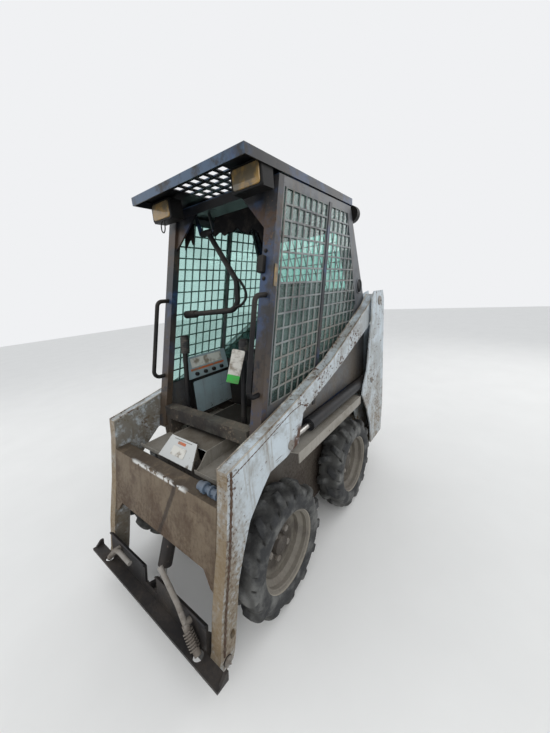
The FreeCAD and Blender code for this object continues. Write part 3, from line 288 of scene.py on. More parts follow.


# Paint on steel
# The machine is sprayed sheet steel. Years of work have left mud low down, dust on level faces,
# drips on the walls, fine scratches, chips through to rusty metal, and stains in known places.
# Faces that look down are painted darker, as painted shade.
def painted_steel(name, paint, dirt, mud_height=0.5, mud=0.6, chips=0.5, drips=0.5, dust=0.6,
                  gloss=0.45, bare=colour(92, 62, 44), second=None, level=colour(138, 130, 120),
                  under_shade=0.3, shine=0.4, stains_and_shades=()):
    """Weathered paint: its colour, its dirt's colour, the height that mud reaches, and how much of
    mud, chips, drips and dust there is, each from 0 to 1. Second is the tone of its cloudy patches,
    level the dust on level faces, the one after level how dark the faces that look down are painted,
    as painted shade, and shine how much light it mirrors. Stains, and in places painted shade, lie over all
    of it."""
    made = Finish(name, specular_ior_level=shine)
    clouds = made.noise(4.5, 6.0, rough=0.62)
    specks = made.noise(70.0, 5.0, rough=0.6)
    fine = made.noise(260.0, 3.0)
    runs = made.noise(7.0, 5.0, stretch=(6.0, 6.0, 0.42), rough=0.6)
    scores = made.noise(30.0, 2.0, stretch=(0.35, 0.35, 4.0), rough=0.4, shift=(3.0, 1.0, 2.0))
    coat = paint
    if second:
        patches = made.noise(3.4, 7.0, rough=0.7, shift=(5.0, 2.0, 7.0))
        coat = made.mix(paint, second, made.ease(patches, 0.48, 0.60))
    tired = made.mix(coat, dirt, made.ease(clouds, 0.40, 0.74, 0.0, 0.42))
    dripped = made.mix(tired, dirt, made.ease(runs, 0.50, 0.72, 0.0, 0.8 * drips))
    low = made.ease(made.axis("Z"), mud_height, mud_height * 0.25)
    splash = made.ease(clouds * 0.6 + specks * 0.4, 0.44, 0.60) * low * mud
    muddy = made.mix(dripped, dirt, (splash + low * 0.45 * mud).least(1.0))
    settled = made.facing("Z") * made.ease(clouds + fine * 0.3, 0.50, 0.80) * dust
    dusty = made.mix(muddy, level, settled)
    chipped = made.ease(specks * 0.55 + clouds * 0.45, 0.66 - 0.10 * chips, 0.68 - 0.10 * chips)
    scored = made.ease(scores, 0.715, 0.735) * (0.9 * chips)
    worn = (chipped + scored).least(1.0) * (1.0 - splash * 0.7)
    rust = made.mix(bare, colour(58, 42, 34), fine)
    # Faces that look down are mixed towards near black: painted shade.
    surface = made.mix(made.mix(dusty, rust, worn), colour(16, 16, 17), made.facing("Z", -1.0) * under_shade)
    for tint, mask in stains_and_shades:
        surface = made.mix(surface, tint, mask(made))
    made.set(
        base_color=surface,
        roughness=(gloss + splash * 0.35 + settled * 0.4 + worn * 0.25 + fine * 0.08).least(0.95),
    )
    made.relief(splash * 0.8 + fine * 0.12 * (splash + settled) - worn * 0.5 + specks * 0.12, 0.0016)
    return made


def along(made):
    """How far forward of the machine's zero a point lies."""
    return made.axis("X") - middle_x


def zone(made, letter, low, high):
    """A mask that goes from 0 at low to 1 at high. X is measured forward of the machine's zero, Y
    out from its centre line to either side, and Z up from the ground."""
    value = along(made) if letter == "X" else made.axis(letter)
    return made.ease(value.size() if letter == "Y" else value, low, high)


def ragged(made, low, high, scale=24.0):
    """A mask of torn patches: fine clouds that rise from low to high."""
    return made.ease(made.noise(scale, 7.0, rough=0.72, shift=(1.0, 4.0, 9.0)), low, high)


def stain_and_shade(tint, share, *zones, face=None, torn=None, own=None):
    """A stain's, or in places painted shade's, colour and its mask: its share times its zones, how far
    faces look along an axis, its torn patches and a mask of its own, as far as each is given."""
    def mask(made):
        parts = [zone(made, *limits) for limits in zones]
        if face:
            parts.append(made.facing(face))
        if torn:
            parts.append(ragged(made, *torn))
        if own:
            parts.append(own(made))
        return math.prod(parts, start=share)

    return tint, mask


# Arms, uprights and covers
# Their white paint has grime on the arms' upper faces, clay on the legs' fronts, grime beside the
# driver's feet, and rust along the raw rear edge of the plate on each knee.
def near_knee_edge(made):
    """The strip round the knee plate's rear edge, which leans back as it rises."""
    from_edge = along(made) - 0.119 - (0.834 - made.axis("Z")) * 0.68
    return made.ease(from_edge.size(), 0.075, 0.030)


white_paint = painted_steel(
    "worn_white_paint", colour(188, 199, 206), colour(124, 113, 97), mud_height=0.95, mud=0.9,
    chips=0.86, drips=0.75, dust=0.22, second=colour(158, 164, 166), level=colour(150, 146, 136),
    stains_and_shades=(
        stain_and_shade(colour(116, 104, 86), 0.5, ("Y", 0.355, 0.360), face="Z", torn=(0.46, 0.60, 22.0)),
        stain_and_shade(colour(124, 107, 82), 0.9, ("X", 0.55, 0.60), face="X", torn=(0.26, 0.50, 12.0)),
        stain_and_shade(colour(104, 94, 78), 0.85, ("X", 0.25, 0.36), ("Y", 0.366, 0.3625), torn=(0.36, 0.54, 16.0)),
        stain_and_shade(colour(72, 46, 32), 1.0, ("Y", 0.400, 0.408), ("Z", 0.800, 0.760), torn=(0.40, 0.50),
              own=near_knee_edge),
    ),
)
dressed(white_paint, "arm_left", "arm_right", "upright_left", "upright_right", "tail_frame", "rear_door",
        "engine_cover")


# Cross member
# Brown clay hides its paint, and mud lies on its shelf. White paint shows where boots have worn the
# shelf's front edge, and dark oil has run down the front.
def oil_run(made):
    """A leaning run a little left of the middle, with a wavy edge."""
    middle = made.axis("Y") - 0.043 - (made.axis("Z") - 0.47) * 0.45
    return made.ease(middle.size() - made.noise(30.0, 4.0) * 0.022, 0.006, -0.006)


cross_paint = painted_steel(
    "clay_on_cross_member", colour(118, 104, 85), colour(74, 57, 43), mud_height=0.8, mud=0.8,
    chips=0.45, drips=0.8, dust=0.5, level=colour(92, 83, 72), second=colour(82, 65, 49), shine=0.25,
    stains_and_shades=(
        stain_and_shade(colour(66, 58, 50), 0.7, face="Z", torn=(0.34, 0.52, 14.0)),
        stain_and_shade(colour(206, 206, 202), 1.0, ("X", 0.628, 0.646), ("Y", 0.215, 0.170), ("Z", 0.652, 0.660),
              torn=(0.45, 0.50, 26.0)),
        stain_and_shade(colour(38, 30, 25), 0.75, face="X", own=oil_run),
    ),
)
dressed(cross_paint, "cross_member")


# Hull, toe pans and step
# The hull is caked with mud and the pans beside the driver's feet are dusty. The step between them
# is still white on its sloping front, and painted near black, as painted shade, where it runs back
# into the cab.
def step_front(made):
    """The step's sloping front, less some torn patches."""
    return made.ease(made.facing("X"), 0.45, 0.60) * made.ease(ragged(made, 0.36, 0.46, 20.0), 0.0, 0.6)


hull_paint = painted_steel(
    "muddy_hull_paint", colour(92, 86, 78), colour(64, 56, 49), mud_height=0.9, mud=0.9,
    level=colour(96, 86, 74),
)
dressed(hull_paint, "lower_frame", "axle_housings")
pan_paint = painted_steel(
    "dusty_pan_paint", colour(142, 138, 130), colour(106, 98, 86), mud=0.4, chips=0.4, dust=0.4,
    level=colour(128, 120, 108), second=colour(120, 114, 104),
)
dressed(pan_paint, "toe_pans", "fenders")
step_paint = painted_steel(
    "dusty_step_paint", colour(112, 106, 96), colour(78, 70, 60), mud=0.4, chips=0.4, dust=0.5,
    level=colour(96, 89, 79), second=colour(92, 85, 75), shine=0.25,
    stains_and_shades=(
        stain_and_shade(colour(196, 198, 196), 0.92, own=step_front),
        # Painted shade: the step near black where it runs back into the cab.
        stain_and_shade(colour(26, 23, 21), 0.85, ("X", 0.42, 0.36)),
    ),
)
dressed(step_paint, "center_step")


# Cab
# Its black paint has worn blue patches. The corner plates and the posts' feet are rusty, the
# doorway's header is darker, near black, and the roof's front lip is still blue. Inside it is black,
# and faces that look down are painted near black, as painted shade.
cab_paint = painted_steel(
    "dark_cab_paint", colour(30, 33, 39), colour(70, 63, 56), mud_height=1.05, mud=0.45, chips=0.45,
    drips=0.4, dust=0.45, gloss=0.34, bare=colour(104, 92, 80), second=colour(42, 66, 100), under_shade=0.95,
    level=colour(84, 88, 92), shine=0.28,
    stains_and_shades=(
        stain_and_shade(colour(70, 54, 42), 0.85, ("X", 0.08, 0.13), ("Z", 1.42, 1.56), ("Z", 1.70, 1.66),
              torn=(0.44, 0.56, 9.0)),
        stain_and_shade(colour(78, 66, 54), 0.85, ("X", 0.18, 0.25), ("Z", 1.36, 0.90), torn=(0.36, 0.50, 14.0)),
        # The doorway's header, darker, near black.
        stain_and_shade(colour(15, 15, 17), 0.85, ("Y", 0.285, 0.262), ("Z", 1.690, 1.705)),
        stain_and_shade(colour(62, 84, 108), 0.85, ("Z", 1.766, 1.772), face="X", torn=(0.40, 0.54, 7.0)),
    ),
)
dressed(cab_paint, "cab_frame", "cab_roof")
inside_paint = painted_steel(
    "black_inside_paint", colour(20, 20, 22), colour(58, 53, 47), mud_height=1.0, mud=0.4, chips=0.4,
    drips=0.3, dust=0.4, gloss=0.5, bare=colour(84, 76, 68), under_shade=0.9, level=colour(90, 84, 76), shine=0.2,
)
dressed(inside_paint, "cab_rear_panel", "cab_floor", "seat_bar", "control_levers", "seat_pan",
        "grab_handles")
sill_paint = painted_steel(
    "worn_sill_paint", colour(36, 36, 38), colour(98, 88, 76), mud_height=1.2, mud=0.5, chips=0.95,
    drips=0.2, dust=0.8, gloss=0.5, bare=colour(148, 138, 122), level=colour(104, 98, 88),
    second=colour(72, 72, 68), shine=0.25,
)
dressed(sill_paint, "front_sill")
side_paint = painted_steel(
    "dusty_side_paint", colour(88, 92, 96), colour(96, 88, 78), mud_height=1.42, mud=0.85, chips=0.3,
    drips=0.75, dust=0.5, gloss=0.42, bare=colour(58, 50, 44), second=colour(66, 70, 76),
)
dressed(side_paint, "cab_side_left", "cab_side_right")


# Quick attach and cylinders
# Scuffed black paint, with clay dried on the two wedge levers. The rods are ground and chromed
# steel with a film of oil.
black_paint = painted_steel(
    "scuffed_black_paint", colour(30, 31, 34), colour(66, 59, 52), mud_height=0.36, mud=0.5, chips=0.45,
    drips=0.3, dust=0.5, gloss=0.42, bare=colour(118, 110, 102), level=colour(60, 55, 52), shine=0.25,
)
dressed(black_paint, "attach_frame", "lift_barrel_left", "lift_barrel_right", "tilt_barrel")
lever_steel = painted_steel(
    "clay_on_levers", colour(148, 144, 138), colour(92, 83, 74), mud=0.7, drips=0.3, gloss=0.55,
    second=colour(104, 96, 88),
)
dressed(lever_steel, "attach_levers")
chrome = mottled("chromed_rod", colour(176, 174, 170), colour(122, 116, 108), 22.0, edges=(0.48, 0.7),
                 haze=(0.18, 60.0, 0.25), metallic=1.0)
dressed(chrome, "lift_rod_left", "lift_rod_right", "tilt_rod")


# Engine and tail lamps
# The engine is a plain casting under oily dirt, and the tail lamps are moulded red lenses.
engine_metal = mottled("oily_casting", colour(86, 84, 80), colour(40, 36, 32), 14.0, 6.0,
                       haze=(0.45, 40.0, 0.3), metallic=0.4)
engine_metal.relief(engine_metal.noise(90.0, 6.0), 0.002)
dressed(engine_metal, "engine_block")
red_lens = mottled("red_lens", colour(128, 20, 18), colour(92, 16, 14), 60.0, haze=(0.22, 24.0, 0.3),
                   coat_weight=0.6)
red_lens.ribs(90.0, 0.0008)
dressed(red_lens, "tail_lamps")


# Window glass
# Flat toughened sheets with a green tint behind the guards, filmed with dust and wiped in places.
glass = Finish("green_glass", ior=1.45, transmission_weight=1.0, roughness=0.02,
               base_color=colour(196, 236, 228))
glass_film = glass.ease(glass.noise(3.0, 5.0), 0.40, 0.80, 0.05, 0.22)
dust_on_glass = glass.node("ShaderNodeBsdfDiffuse", values={0: colour(146, 176, 168)})
glass_mixed = glass.node("ShaderNodeMixShader", values={
    0: glass_film, 1: Shade(glass, glass.shader.outputs[0]), 2: dust_on_glass,
})
glass.join(glass.tree.nodes["Material Output"].inputs["Surface"], glass_mixed)
dressed(glass, "cab_glass")


# Tyres
# Four air tyres with deep slanting lugs, moulded in black rubber that work has dulled to grey, with
# dry mud in clouds over the tread and the walls. Between the lugs and in the walls' notches they are
# painted darker, as painted shade.
def grid_faces(rows, columns, wrap_rows=False, wrap_columns=False):
    """The four-sided faces of a grid of points, joined end to end where it wraps."""
    i, j = np.meshgrid(
        np.arange(rows if wrap_rows else rows - 1), np.arange(columns if wrap_columns else columns - 1),
        indexing="ij",
    )
    below, right = (i + 1) % rows, (j + 1) % columns
    return np.stack(
        [i * columns + j, below * columns + j, below * columns + right, i * columns + right], axis=-1
    ).reshape(-1, 4)


def eased(value, low, high):
    """A smooth step from 0 at low to 1 at high: t squared times (3 - 2t)."""
    t = np.clip((value - low) / (high - low), 0.0, 1.0)
    return t * t * (3.0 - 2.0 * t)


def bell(value, middle, half, power=2):
    """A bell round a middle: 1 there, and about a third at half of its width."""
    return np.exp(-((value - middle) / half) ** power)


tyre_radius = 0.276
tyre_half_width = 0.0705
bead_radius = 0.176
bead_wrap = 0.62
tread_limit = 0.0725
tread_flatness = 0.62
wall_flatness = 0.7
tread_columns = 624
lug_height = 0.021
lug_pairs = 13
lug_half_thickness = 0.0205
lug_lean = 0.62
wall_notches = 26
notch_radius = 0.238
notch_lean = 2.2
notch_depth = 0.006


def tyre_section():
    """Half round the tyre's section, from one bead to the other, as offsets across and radii. It
    is a superellipse that is flat across the tread and round at the walls."""
    angle = np.linspace(-bead_wrap, math.pi + bead_wrap, 60)
    cosine, sine = np.cos(angle), np.sin(angle)
    across = tyre_half_width * np.sign(cosine) * np.abs(cosine) ** tread_flatness
    middle = bead_radius + 0.028
    reach = np.where(sine > 0, tyre_radius - lug_height - middle, 0.050)
    return across, middle + reach * np.sign(sine) * np.abs(sine) ** wall_flatness


def lug_rise(turn, across):
    """How high the tread stands over its base, from 0 to 1. Along the tyre's edge the lugs repeat,
    those of one side half a step from the other's, and each leans away from the middle."""
    side = np.where(across > 0, 0.0, 0.5)
    step = 2.0 * math.pi / lug_pairs
    lean = lug_lean * np.abs(across) / tyre_radius
    away = ((turn - lean) / step - side + 0.5) % 1.0 - 0.5
    distance = np.abs(away) * step * tyre_radius
    wide = lug_half_thickness * (0.78 + 0.32 * np.abs(across) / tyre_half_width)
    flank = 1.0 - eased(distance, wide - 0.0025, wide + 0.0035)
    inner = eased(np.abs(across), -0.004, 0.004) * np.where(np.abs(across) < 0.002, 0.3, 1.0)
    return flank * inner


def notch_dip(turn, radius):
    """How deep the wall's notches are, from 0 to 1: short slanting bells at an even step."""
    step = 2.0 * math.pi / wall_notches
    away = (((turn + (radius - notch_radius) * notch_lean) / step + 0.5) % 1.0 - 0.5) * step * notch_radius
    return bell(away, 0.0, 0.0062, 4) * bell(radius, notch_radius, 0.0105, 4)


def tyre_surface(center_x, center_y, out_sign, phase):
    """Each point is the section turned about the axle. It is pushed out along the section's own
    normal by the lugs, fully on the tread and fading down the wall, and in at the notches. The
    second result is how deep in a notch each point lies."""
    across, radius = tyre_section()
    turn = np.linspace(0.0, 2.0 * math.pi, tread_columns, endpoint=False)[:, None]
    notch = notch_dip(turn + phase, radius)
    slope_across, slope_radius = np.gradient(across), np.gradient(radius)
    length = np.hypot(slope_across, slope_radius)
    worn = 0.93 + 0.07 * np.sin(turn * 7.0 + phase) * np.cos(turn * 3.0)
    lift = lug_rise(turn + phase, across[None, :]) * eased(radius, 0.222, 0.246) * lug_height * worn
    ring = 0.0012 * bell(radius, 0.214, 0.0022) + 0.0010 * bell(radius, 0.196, 0.002)
    pushed = ring - notch * notch_depth
    r = radius - (lift + pushed) * slope_across / length
    y = np.clip(across + (lift * 0.55 + pushed) * slope_radius / length, -tread_limit, tread_limit)
    x, z = r * np.sin(turn), r * np.cos(turn)
    return np.stack([center_x + x, center_y + out_sign * y, tyre_radius + z], axis=-1), notch


rubber = Finish("dusty_rubber", specular_ior_level=0.25)
groove_dust_and_shade = rubber.node("ShaderNodeAttribute", {"attribute_name": "groove"}, out="Fac")
rubber_clouds = rubber.noise(9.0, 6.0, rough=0.6)
rubber_dust = rubber.ease(rubber_clouds + groove_dust_and_shade * 0.10, 0.42, 0.68, 0.08, 0.90)
rubber_grit = rubber.noise(240.0, 4.0)
rubber_coat = rubber.mix(colour(42, 43, 45), colour(116, 116, 113), rubber_dust)
# The grooves between the lugs and the walls' notches are painted near black: painted shade.
rubber.set(base_color=rubber.mix(rubber_coat, colour(20, 19, 18), (groove_dust_and_shade * 0.60).least(0.9)),
           roughness=0.70 + rubber_grit * 0.25)
rubber.relief(rubber_grit + rubber_clouds * 0.6, 0.0015)

both_sides = (("left", 1), ("right", -1))
wheels = [(end, side, sign) for end in ("front", "rear") for side, sign in both_sides]
for number, (end, side, sign) in enumerate(wheels):
    node = f"tyre_{end}_{side}"
    center = (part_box(node)[0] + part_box(node)[1]) / 2
    points, notch = tyre_surface(center.x, center.y, sign, 0.35 * number)
    faces = grid_faces(*points.shape[:2], wrap_rows=True)
    tyre = mesh_of(f"moulded_{node}", points.reshape(-1, 3), faces if sign > 0 else faces[:, ::-1])
    depth = np.hypot(points[..., 0] - points[..., 0].mean(), points[..., 2] - tyre_radius)
    groove = 1.0 - eased(depth, tyre_radius - lug_height * 0.9, tyre_radius - 0.004)
    groove = np.maximum(groove * eased(depth, 0.238, 0.252), notch * 1.6)
    layer = tyre.data.attributes.new("groove", "FLOAT", "POINT")
    layer.data.foreach_set("value", groove.reshape(-1).astype(np.float32))
    fitted(tyre, rubber, f"wheel_{end}_{side}")
    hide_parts(node)


# Rims
# Pressed steel rims with a dished disc, painted beige over dirt. The lip is lighter, and five
# nuts on studs hold the disc to the hub.
rim_face_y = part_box("rim_front_left")[1].y
wheel_x = 0.361


def near_hub(made):
    """Dark grease over the disc: what lies within 0.13 m of the nearer axle."""
    ahead = along(made).size() - wheel_x
    up = made.axis("Z") - tyre_radius
    return made.ease((ahead * ahead + up * up) ** 0.5, 0.130, 0.095)


rim_paint = painted_steel(
    "worn_rim_paint", colour(120, 115, 105), colour(74, 68, 62), mud=0.35, chips=0.1, drips=0.1,
    gloss=0.55, bare=colour(150, 142, 130), second=colour(96, 91, 84),
    stains_and_shades=(
        stain_and_shade(colour(46, 39, 34), 0.75, torn=(0.28, 0.50, 16.0), own=near_hub),
        stain_and_shade(colour(172, 164, 150), 0.75, ("Y", rim_face_y - 0.006, rim_face_y - 0.003)),
    ),
)
dressed(rim_paint, "rim_front_left", "rim_front_right", "rim_rear_left", "rim_rear_right")


def turned_part(profile, sides, centre, axis=(0.0, 1.0, 0.0)):
    """A profile of (radius, height) turned about an axis through a centre, as points and faces. A
    profile that starts and ends on the axis is closed."""
    axis = np.asarray(axis, dtype=float) / np.linalg.norm(axis)
    first = np.cross((0.0, 0.0, 1.0) if abs(axis[2]) < 0.9 else (1.0, 0.0, 0.0), axis)
    first /= np.linalg.norm(first)
    turn = np.linspace(0.0, 2.0 * math.pi, sides, endpoint=False)[:, None, None]
    ring = np.cos(turn) * first + np.sin(turn) * np.cross(axis, first)
    radius, height = np.asarray(profile, dtype=float).T[:, None, :, None]
    return np.asarray(centre) + radius * ring + height * axis, grid_faces(sides, len(profile), wrap_rows=True)


def built(name, parts, finish, body, edges="creased"):
    """One piece of several parts, each its points and its faces. Doubles are merged and every
    closed shell's faces turned outwards. The edges are smooth, flat or creased, which is sharp
    where faces meet at more than 35 degrees."""
    points, faces, start = [], [], 0
    for part_points, part_faces in parts:
        points.append(np.asarray(part_points).reshape(-1, 3))
        faces.extend(np.asarray(face) + start for face in part_faces)
        start += len(points[-1])
    made = mesh_of(name, np.concatenate(points), faces)
    work = bmesh.new()
    work.from_mesh(made.data)
    bmesh.ops.remove_doubles(work, verts=work.verts, dist=0.00002)
    bmesh.ops.recalc_face_normals(work, faces=work.faces)
    work.to_mesh(made.data)
    work.free()
    made.data.shade_smooth()
    if edges == "flat":
        made.data.shade_flat()
    if edges == "creased":
        made.data.set_sharp_from_angle(angle=math.radians(35.0))
    return fitted(made, finish, body)


def hex_head(centre, axis, across_flats, height, washer):
    """A six-sided nut on a round washer."""
    r = across_flats / math.sqrt(3)
    nut = [(0.0, height), (r * 0.8, height), (r, height * 0.86), (r, 0.0015), (0.0, 0.0015)]
    ring = [(0.0, 0.0025), (washer, 0.0025), (washer, -0.001), (0.0, -0.001)]
    return [turned_part(nut, 6, centre, axis), turned_part(ring, 16, centre, axis)]


nut_circle = 0.066
nut_count = 5
hub_cap = [(0.0, 0.027), (0.012, 0.026), (0.016, 0.022), (0.017, 0.016), (0.0, 0.016)]
bare_steel = painted_steel(
    "handled_steel", colour(128, 124, 118), colour(92, 82, 72), mud_height=1.0, mud=0.5, chips=0.7,
    drips=0.2, gloss=0.4,
)
for end, side, sign in wheels:
    low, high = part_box(f"rim_{end}_{side}")
    centre = np.array([(low.x + high.x) / 2, (low.y + high.y) / 2 - sign * 0.008, tyre_radius])
    axis = (0.0, sign, 0.0)
    parts = [turned_part(hub_cap, 40, centre + (0.0, sign * 0.004, 0.0), axis)]
    for turn in 2.0 * math.pi * (np.arange(nut_count) + 0.3) / nut_count:
        spot = centre + nut_circle * np.array([math.sin(turn), 0.0, math.cos(turn)])
        parts += hex_head(spot, axis, 0.027, 0.026, 0.018)
    built(f"hub_nuts_{end}_{side}", parts, bare_steel, f"wheel_{end}_{side}")


# Cab side guards
# Each side window has a flat guard punched and pressed from steel, square holes in rows, leaning
# with the front post. A leaning strip stands between the front and the rear guard.
def beams(starts, ends, across, deep):
    """Square bars between two sets of points. Each bar has the four corners plus or minus half of
    across and of deep at both ends."""
    across, deep = np.asarray(across, dtype=float) / 2, np.asarray(deep, dtype=float) / 2
    corners = np.stack([-across - deep, across - deep, across + deep, -across + deep])
    both = np.stack([starts, ends], axis=1)
    points = both[:, :, None, :] + corners[None, None, :, :]
    pattern = np.array([(0, 1, 2, 3), (7, 6, 5, 4), (0, 4, 5, 1), (1, 5, 6, 2), (2, 6, 7, 3), (3, 7, 4, 0)])
    faces = (np.arange(len(starts))[:, None, None] * 8 + pattern[None]).reshape(-1, 4)
    return points.reshape(-1, 3), faces


guard_bar = 0.0075
guard_thick = 0.004
guard_y = 0.3475
guard_sunk = 0.0006
guard_rows = 14
guard_columns = 7
guard_pitch = 0.0535
window_top = 1.735
window_bottom = 0.905
rear_window_bottom = 0.945
front_window_width = 0.357
mullion_top_x = -0.286
mullion_half = 0.017
post_lean = 0.253
height_samples = 400
shortest_bar = 0.05
rear_gap = 0.002


def mullion_x(z):
    """The middle of the leaning strip between the guards, at a height."""
    return mullion_top_x + post_lean * (window_top - np.asarray(z))


def guard_rear_x(z):
    """The rear edge of the rear window: two straight runs that meet at its rear corner."""
    return np.interp(z, [rear_window_bottom, 1.235, window_top], [-0.433, -0.614, -0.502])


def spots(x, y, z):
    """Points on the machine from rows of coordinates, where one number may stand for a row."""
    return placed(np.stack(np.broadcast_arrays(x, y, z), axis=-1))


def guard_bars(first_x, first_z, last_x, last_z, y, wide):
    """Bars of a guard, each from its first point to its last."""
    return beams(spots(first_x, y, first_z), spots(last_x, y, last_z), (0, guard_thick, 0), wide)


def guard_parts(side):
    """Level bars at even heights and leaning bars at an even pitch, for both windows. Leaning bars
    that would be shorter than a share of the rear window's height are left out."""
    y = side * guard_y
    inner_y = y - side * guard_sunk
    tall, wide = (0, 0, guard_bar), (guard_bar, 0, 0)
    levels = np.linspace(window_bottom, window_top, guard_rows + 1)
    edge = mullion_x(levels) + mullion_half
    rear_levels = levels[levels > rear_window_bottom]
    rear_edge = mullion_x(rear_levels) - mullion_half
    columns = mullion_half + np.linspace(0.0, front_window_width, guard_columns + 1)
    parts = [
        guard_bars(edge, levels, edge + front_window_width, levels, y, tall),
        guard_bars(mullion_x(window_bottom) + columns, window_bottom,
                   mullion_x(window_top) + columns, window_top, inner_y, wide),
        guard_bars(guard_rear_x(rear_levels), rear_levels, rear_edge, rear_levels, y, tall),
    ]
    z = np.linspace(rear_window_bottom, window_top, height_samples)
    for k in range(guard_columns + 1):
        x = mullion_x(z) - mullion_half - rear_gap - k * guard_pitch
        inside = np.flatnonzero(x > guard_rear_x(z))
        if len(inside) > shortest_bar * height_samples:
            first, last = inside[[0]], inside[[-1]]
            parts.append(guard_bars(x[first], z[first], x[last], z[last], inner_y, wide))
    return parts


guard_paint = painted_steel(
    "dusty_guard_wire", colour(124, 130, 130), colour(110, 100, 86), mud_height=1.42, mud=0.7, chips=0.4,
    drips=0.6, dust=0.5, gloss=0.5, bare=colour(70, 58, 48), second=colour(92, 96, 98),
)
for side_name, side in both_sides:
    built(f"side_guard_{side_name}", guard_parts(side), guard_paint, "cab", "flat")
strip_y = 0.3522
strip_thick = 0.0038
strip_width = 0.026
strip_foot_z = 0.78
for side_name, side in both_sides:
    foot, top = (placed([(mullion_x(z), side * strip_y, z)]) for z in (strip_foot_z, window_top + 0.012))
    strip = beams(foot, top, (0, strip_thick, 0), (strip_width, 0, 0))
    built(f"window_strip_{side_name}", [strip], cab_paint, "cab", "flat")


# Work lamps
# Two lamps hang under the roof's front. Each is a black plastic box with a bevelled bezel and a
# ribbed amber lens under dust.
def rounded_outline(width, height, corner, steps):
    """A rectangle about zero with quarter circles at its corners."""
    quarters = []
    for quarter, (x, y) in enumerate(((1, 1), (-1, 1), (-1, -1), (1, -1))):
        turn = np.linspace(0, math.pi / 2, steps) + quarter * math.pi / 2
        quarters.append(np.column_stack([
            x * (width / 2 - corner) + corner * np.cos(turn),
            y * (height / 2 - corner) + corner * np.sin(turn),
        ]))
    return np.concatenate(quarters)


def plate(width, height, corner, origin, right, up, thickness, edge=0.0003, steps=5):
    """A flat plate with round corners and a chamfered rim: its outline at the back, at the front
    less the chamfer, and drawn in by the chamfer on the front face."""
    outline = rounded_outline(width, height, corner, steps)
    inset = outline * (1 - edge / np.linalg.norm(outline, axis=1, keepdims=True))
    right, up = np.asarray(right, dtype=float), np.asarray(up, dtype=float)
    points = np.concatenate([
        np.asarray(origin) + flat[:, :1] * right + flat[:, 1:] * up + rise * np.cross(right, up)
        for flat, rise in ((outline, 0.0), (outline, thickness - edge), (inset, thickness))
    ])
    n = len(outline)
    return points, [*grid_faces(3, n, wrap_columns=True), range(n), range(2 * n, 3 * n)]


amber = mottled("dusty_amber_lens", colour(150, 118, 58), colour(92, 82, 62), 16.0, edges=(0.38, 0.60),
                haze=(0.25, 30.0, 0.4), coat_weight=0.5)
amber.ribs(70.0, 0.0010)
plastic = painted_steel(
    "dull_black_plastic", colour(14, 14, 15), colour(40, 37, 33), mud_height=0.9, mud=0.4, chips=0.1,
    drips=0.15, dust=0.2, gloss=0.5, bare=colour(70, 70, 70), shine=0.2,
)
dressed(plastic, "work_lamps")
y_axis, z_axis = (0, 1, 0), (0, 0, 1)
lamp_front_x = 0.235
lamp_side_y = 0.272
lamp_middle_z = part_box("work_lamps")[1].z - 0.0522
for side_name, side in both_sides:
    face = placed((lamp_front_x, side * lamp_side_y, lamp_middle_z))
    bezel = plate(0.152, 0.088, 0.014, face, y_axis, z_axis, 0.006, 0.003)
    lens = plate(0.132, 0.070, 0.012, face + (0.0055, 0, 0), y_axis, z_axis, 0.004, 0.003)
    built(f"lamp_bezel_{side_name}", [bezel], plastic, "cab")
    built(f"lamp_lens_{side_name}", [lens], amber, "cab")


# Arm edges and knee plates
# The arms are boxes welded from plate. A raised bead of weld runs along both upper edges, and a
# plate is welded on the outside of each knee, its rear edge raw and rusty.
def tube_part(path, radius, sides=14, up=z_axis):
    """A round tube along a path: a circle in the plane square to the path's run at each point.
    The radius is one number or one for each point, and the ends are closed."""
    path = np.asarray(path, dtype=float)
    run = np.gradient(path, axis=0)
    run /= np.linalg.norm(run, axis=1, keepdims=True)
    first = np.cross(up, run)
    first /= np.linalg.norm(first, axis=1, keepdims=True)
    turn = np.linspace(0, 2 * math.pi, sides, endpoint=False)[None, :, None]
    ring = np.cos(turn) * first[:, None, :] + np.sin(turn) * np.cross(run, first)[:, None, :]
    points = path[:, None, :] + np.broadcast_to(radius, len(path))[:, None, None] * ring
    last = (len(path) - 1) * sides
    faces = [*grid_faces(len(path), sides, wrap_columns=True), range(sides), range(last, last + sides)]
    return points, faces


def bead(corners, radius, swell):
    """A bead of weld along straight runs between corners, in steps of 4 mm. Its radius swells by
    what a function gives for the number of each step."""
    corners = np.asarray(corners, dtype=float)
    runs = np.concatenate([[0.0], np.cumsum(np.linalg.norm(np.diff(corners, axis=0), axis=1))])
    spots = np.linspace(0, runs[-1], int(runs[-1] / 0.004))
    path = np.stack([np.interp(spots, runs, corners[:, k]) for k in range(3)], axis=-1)
    return tube_part(placed(path), radius + swell(np.arange(len(path))), 8, up=(0.1, 1.0, 0.3))


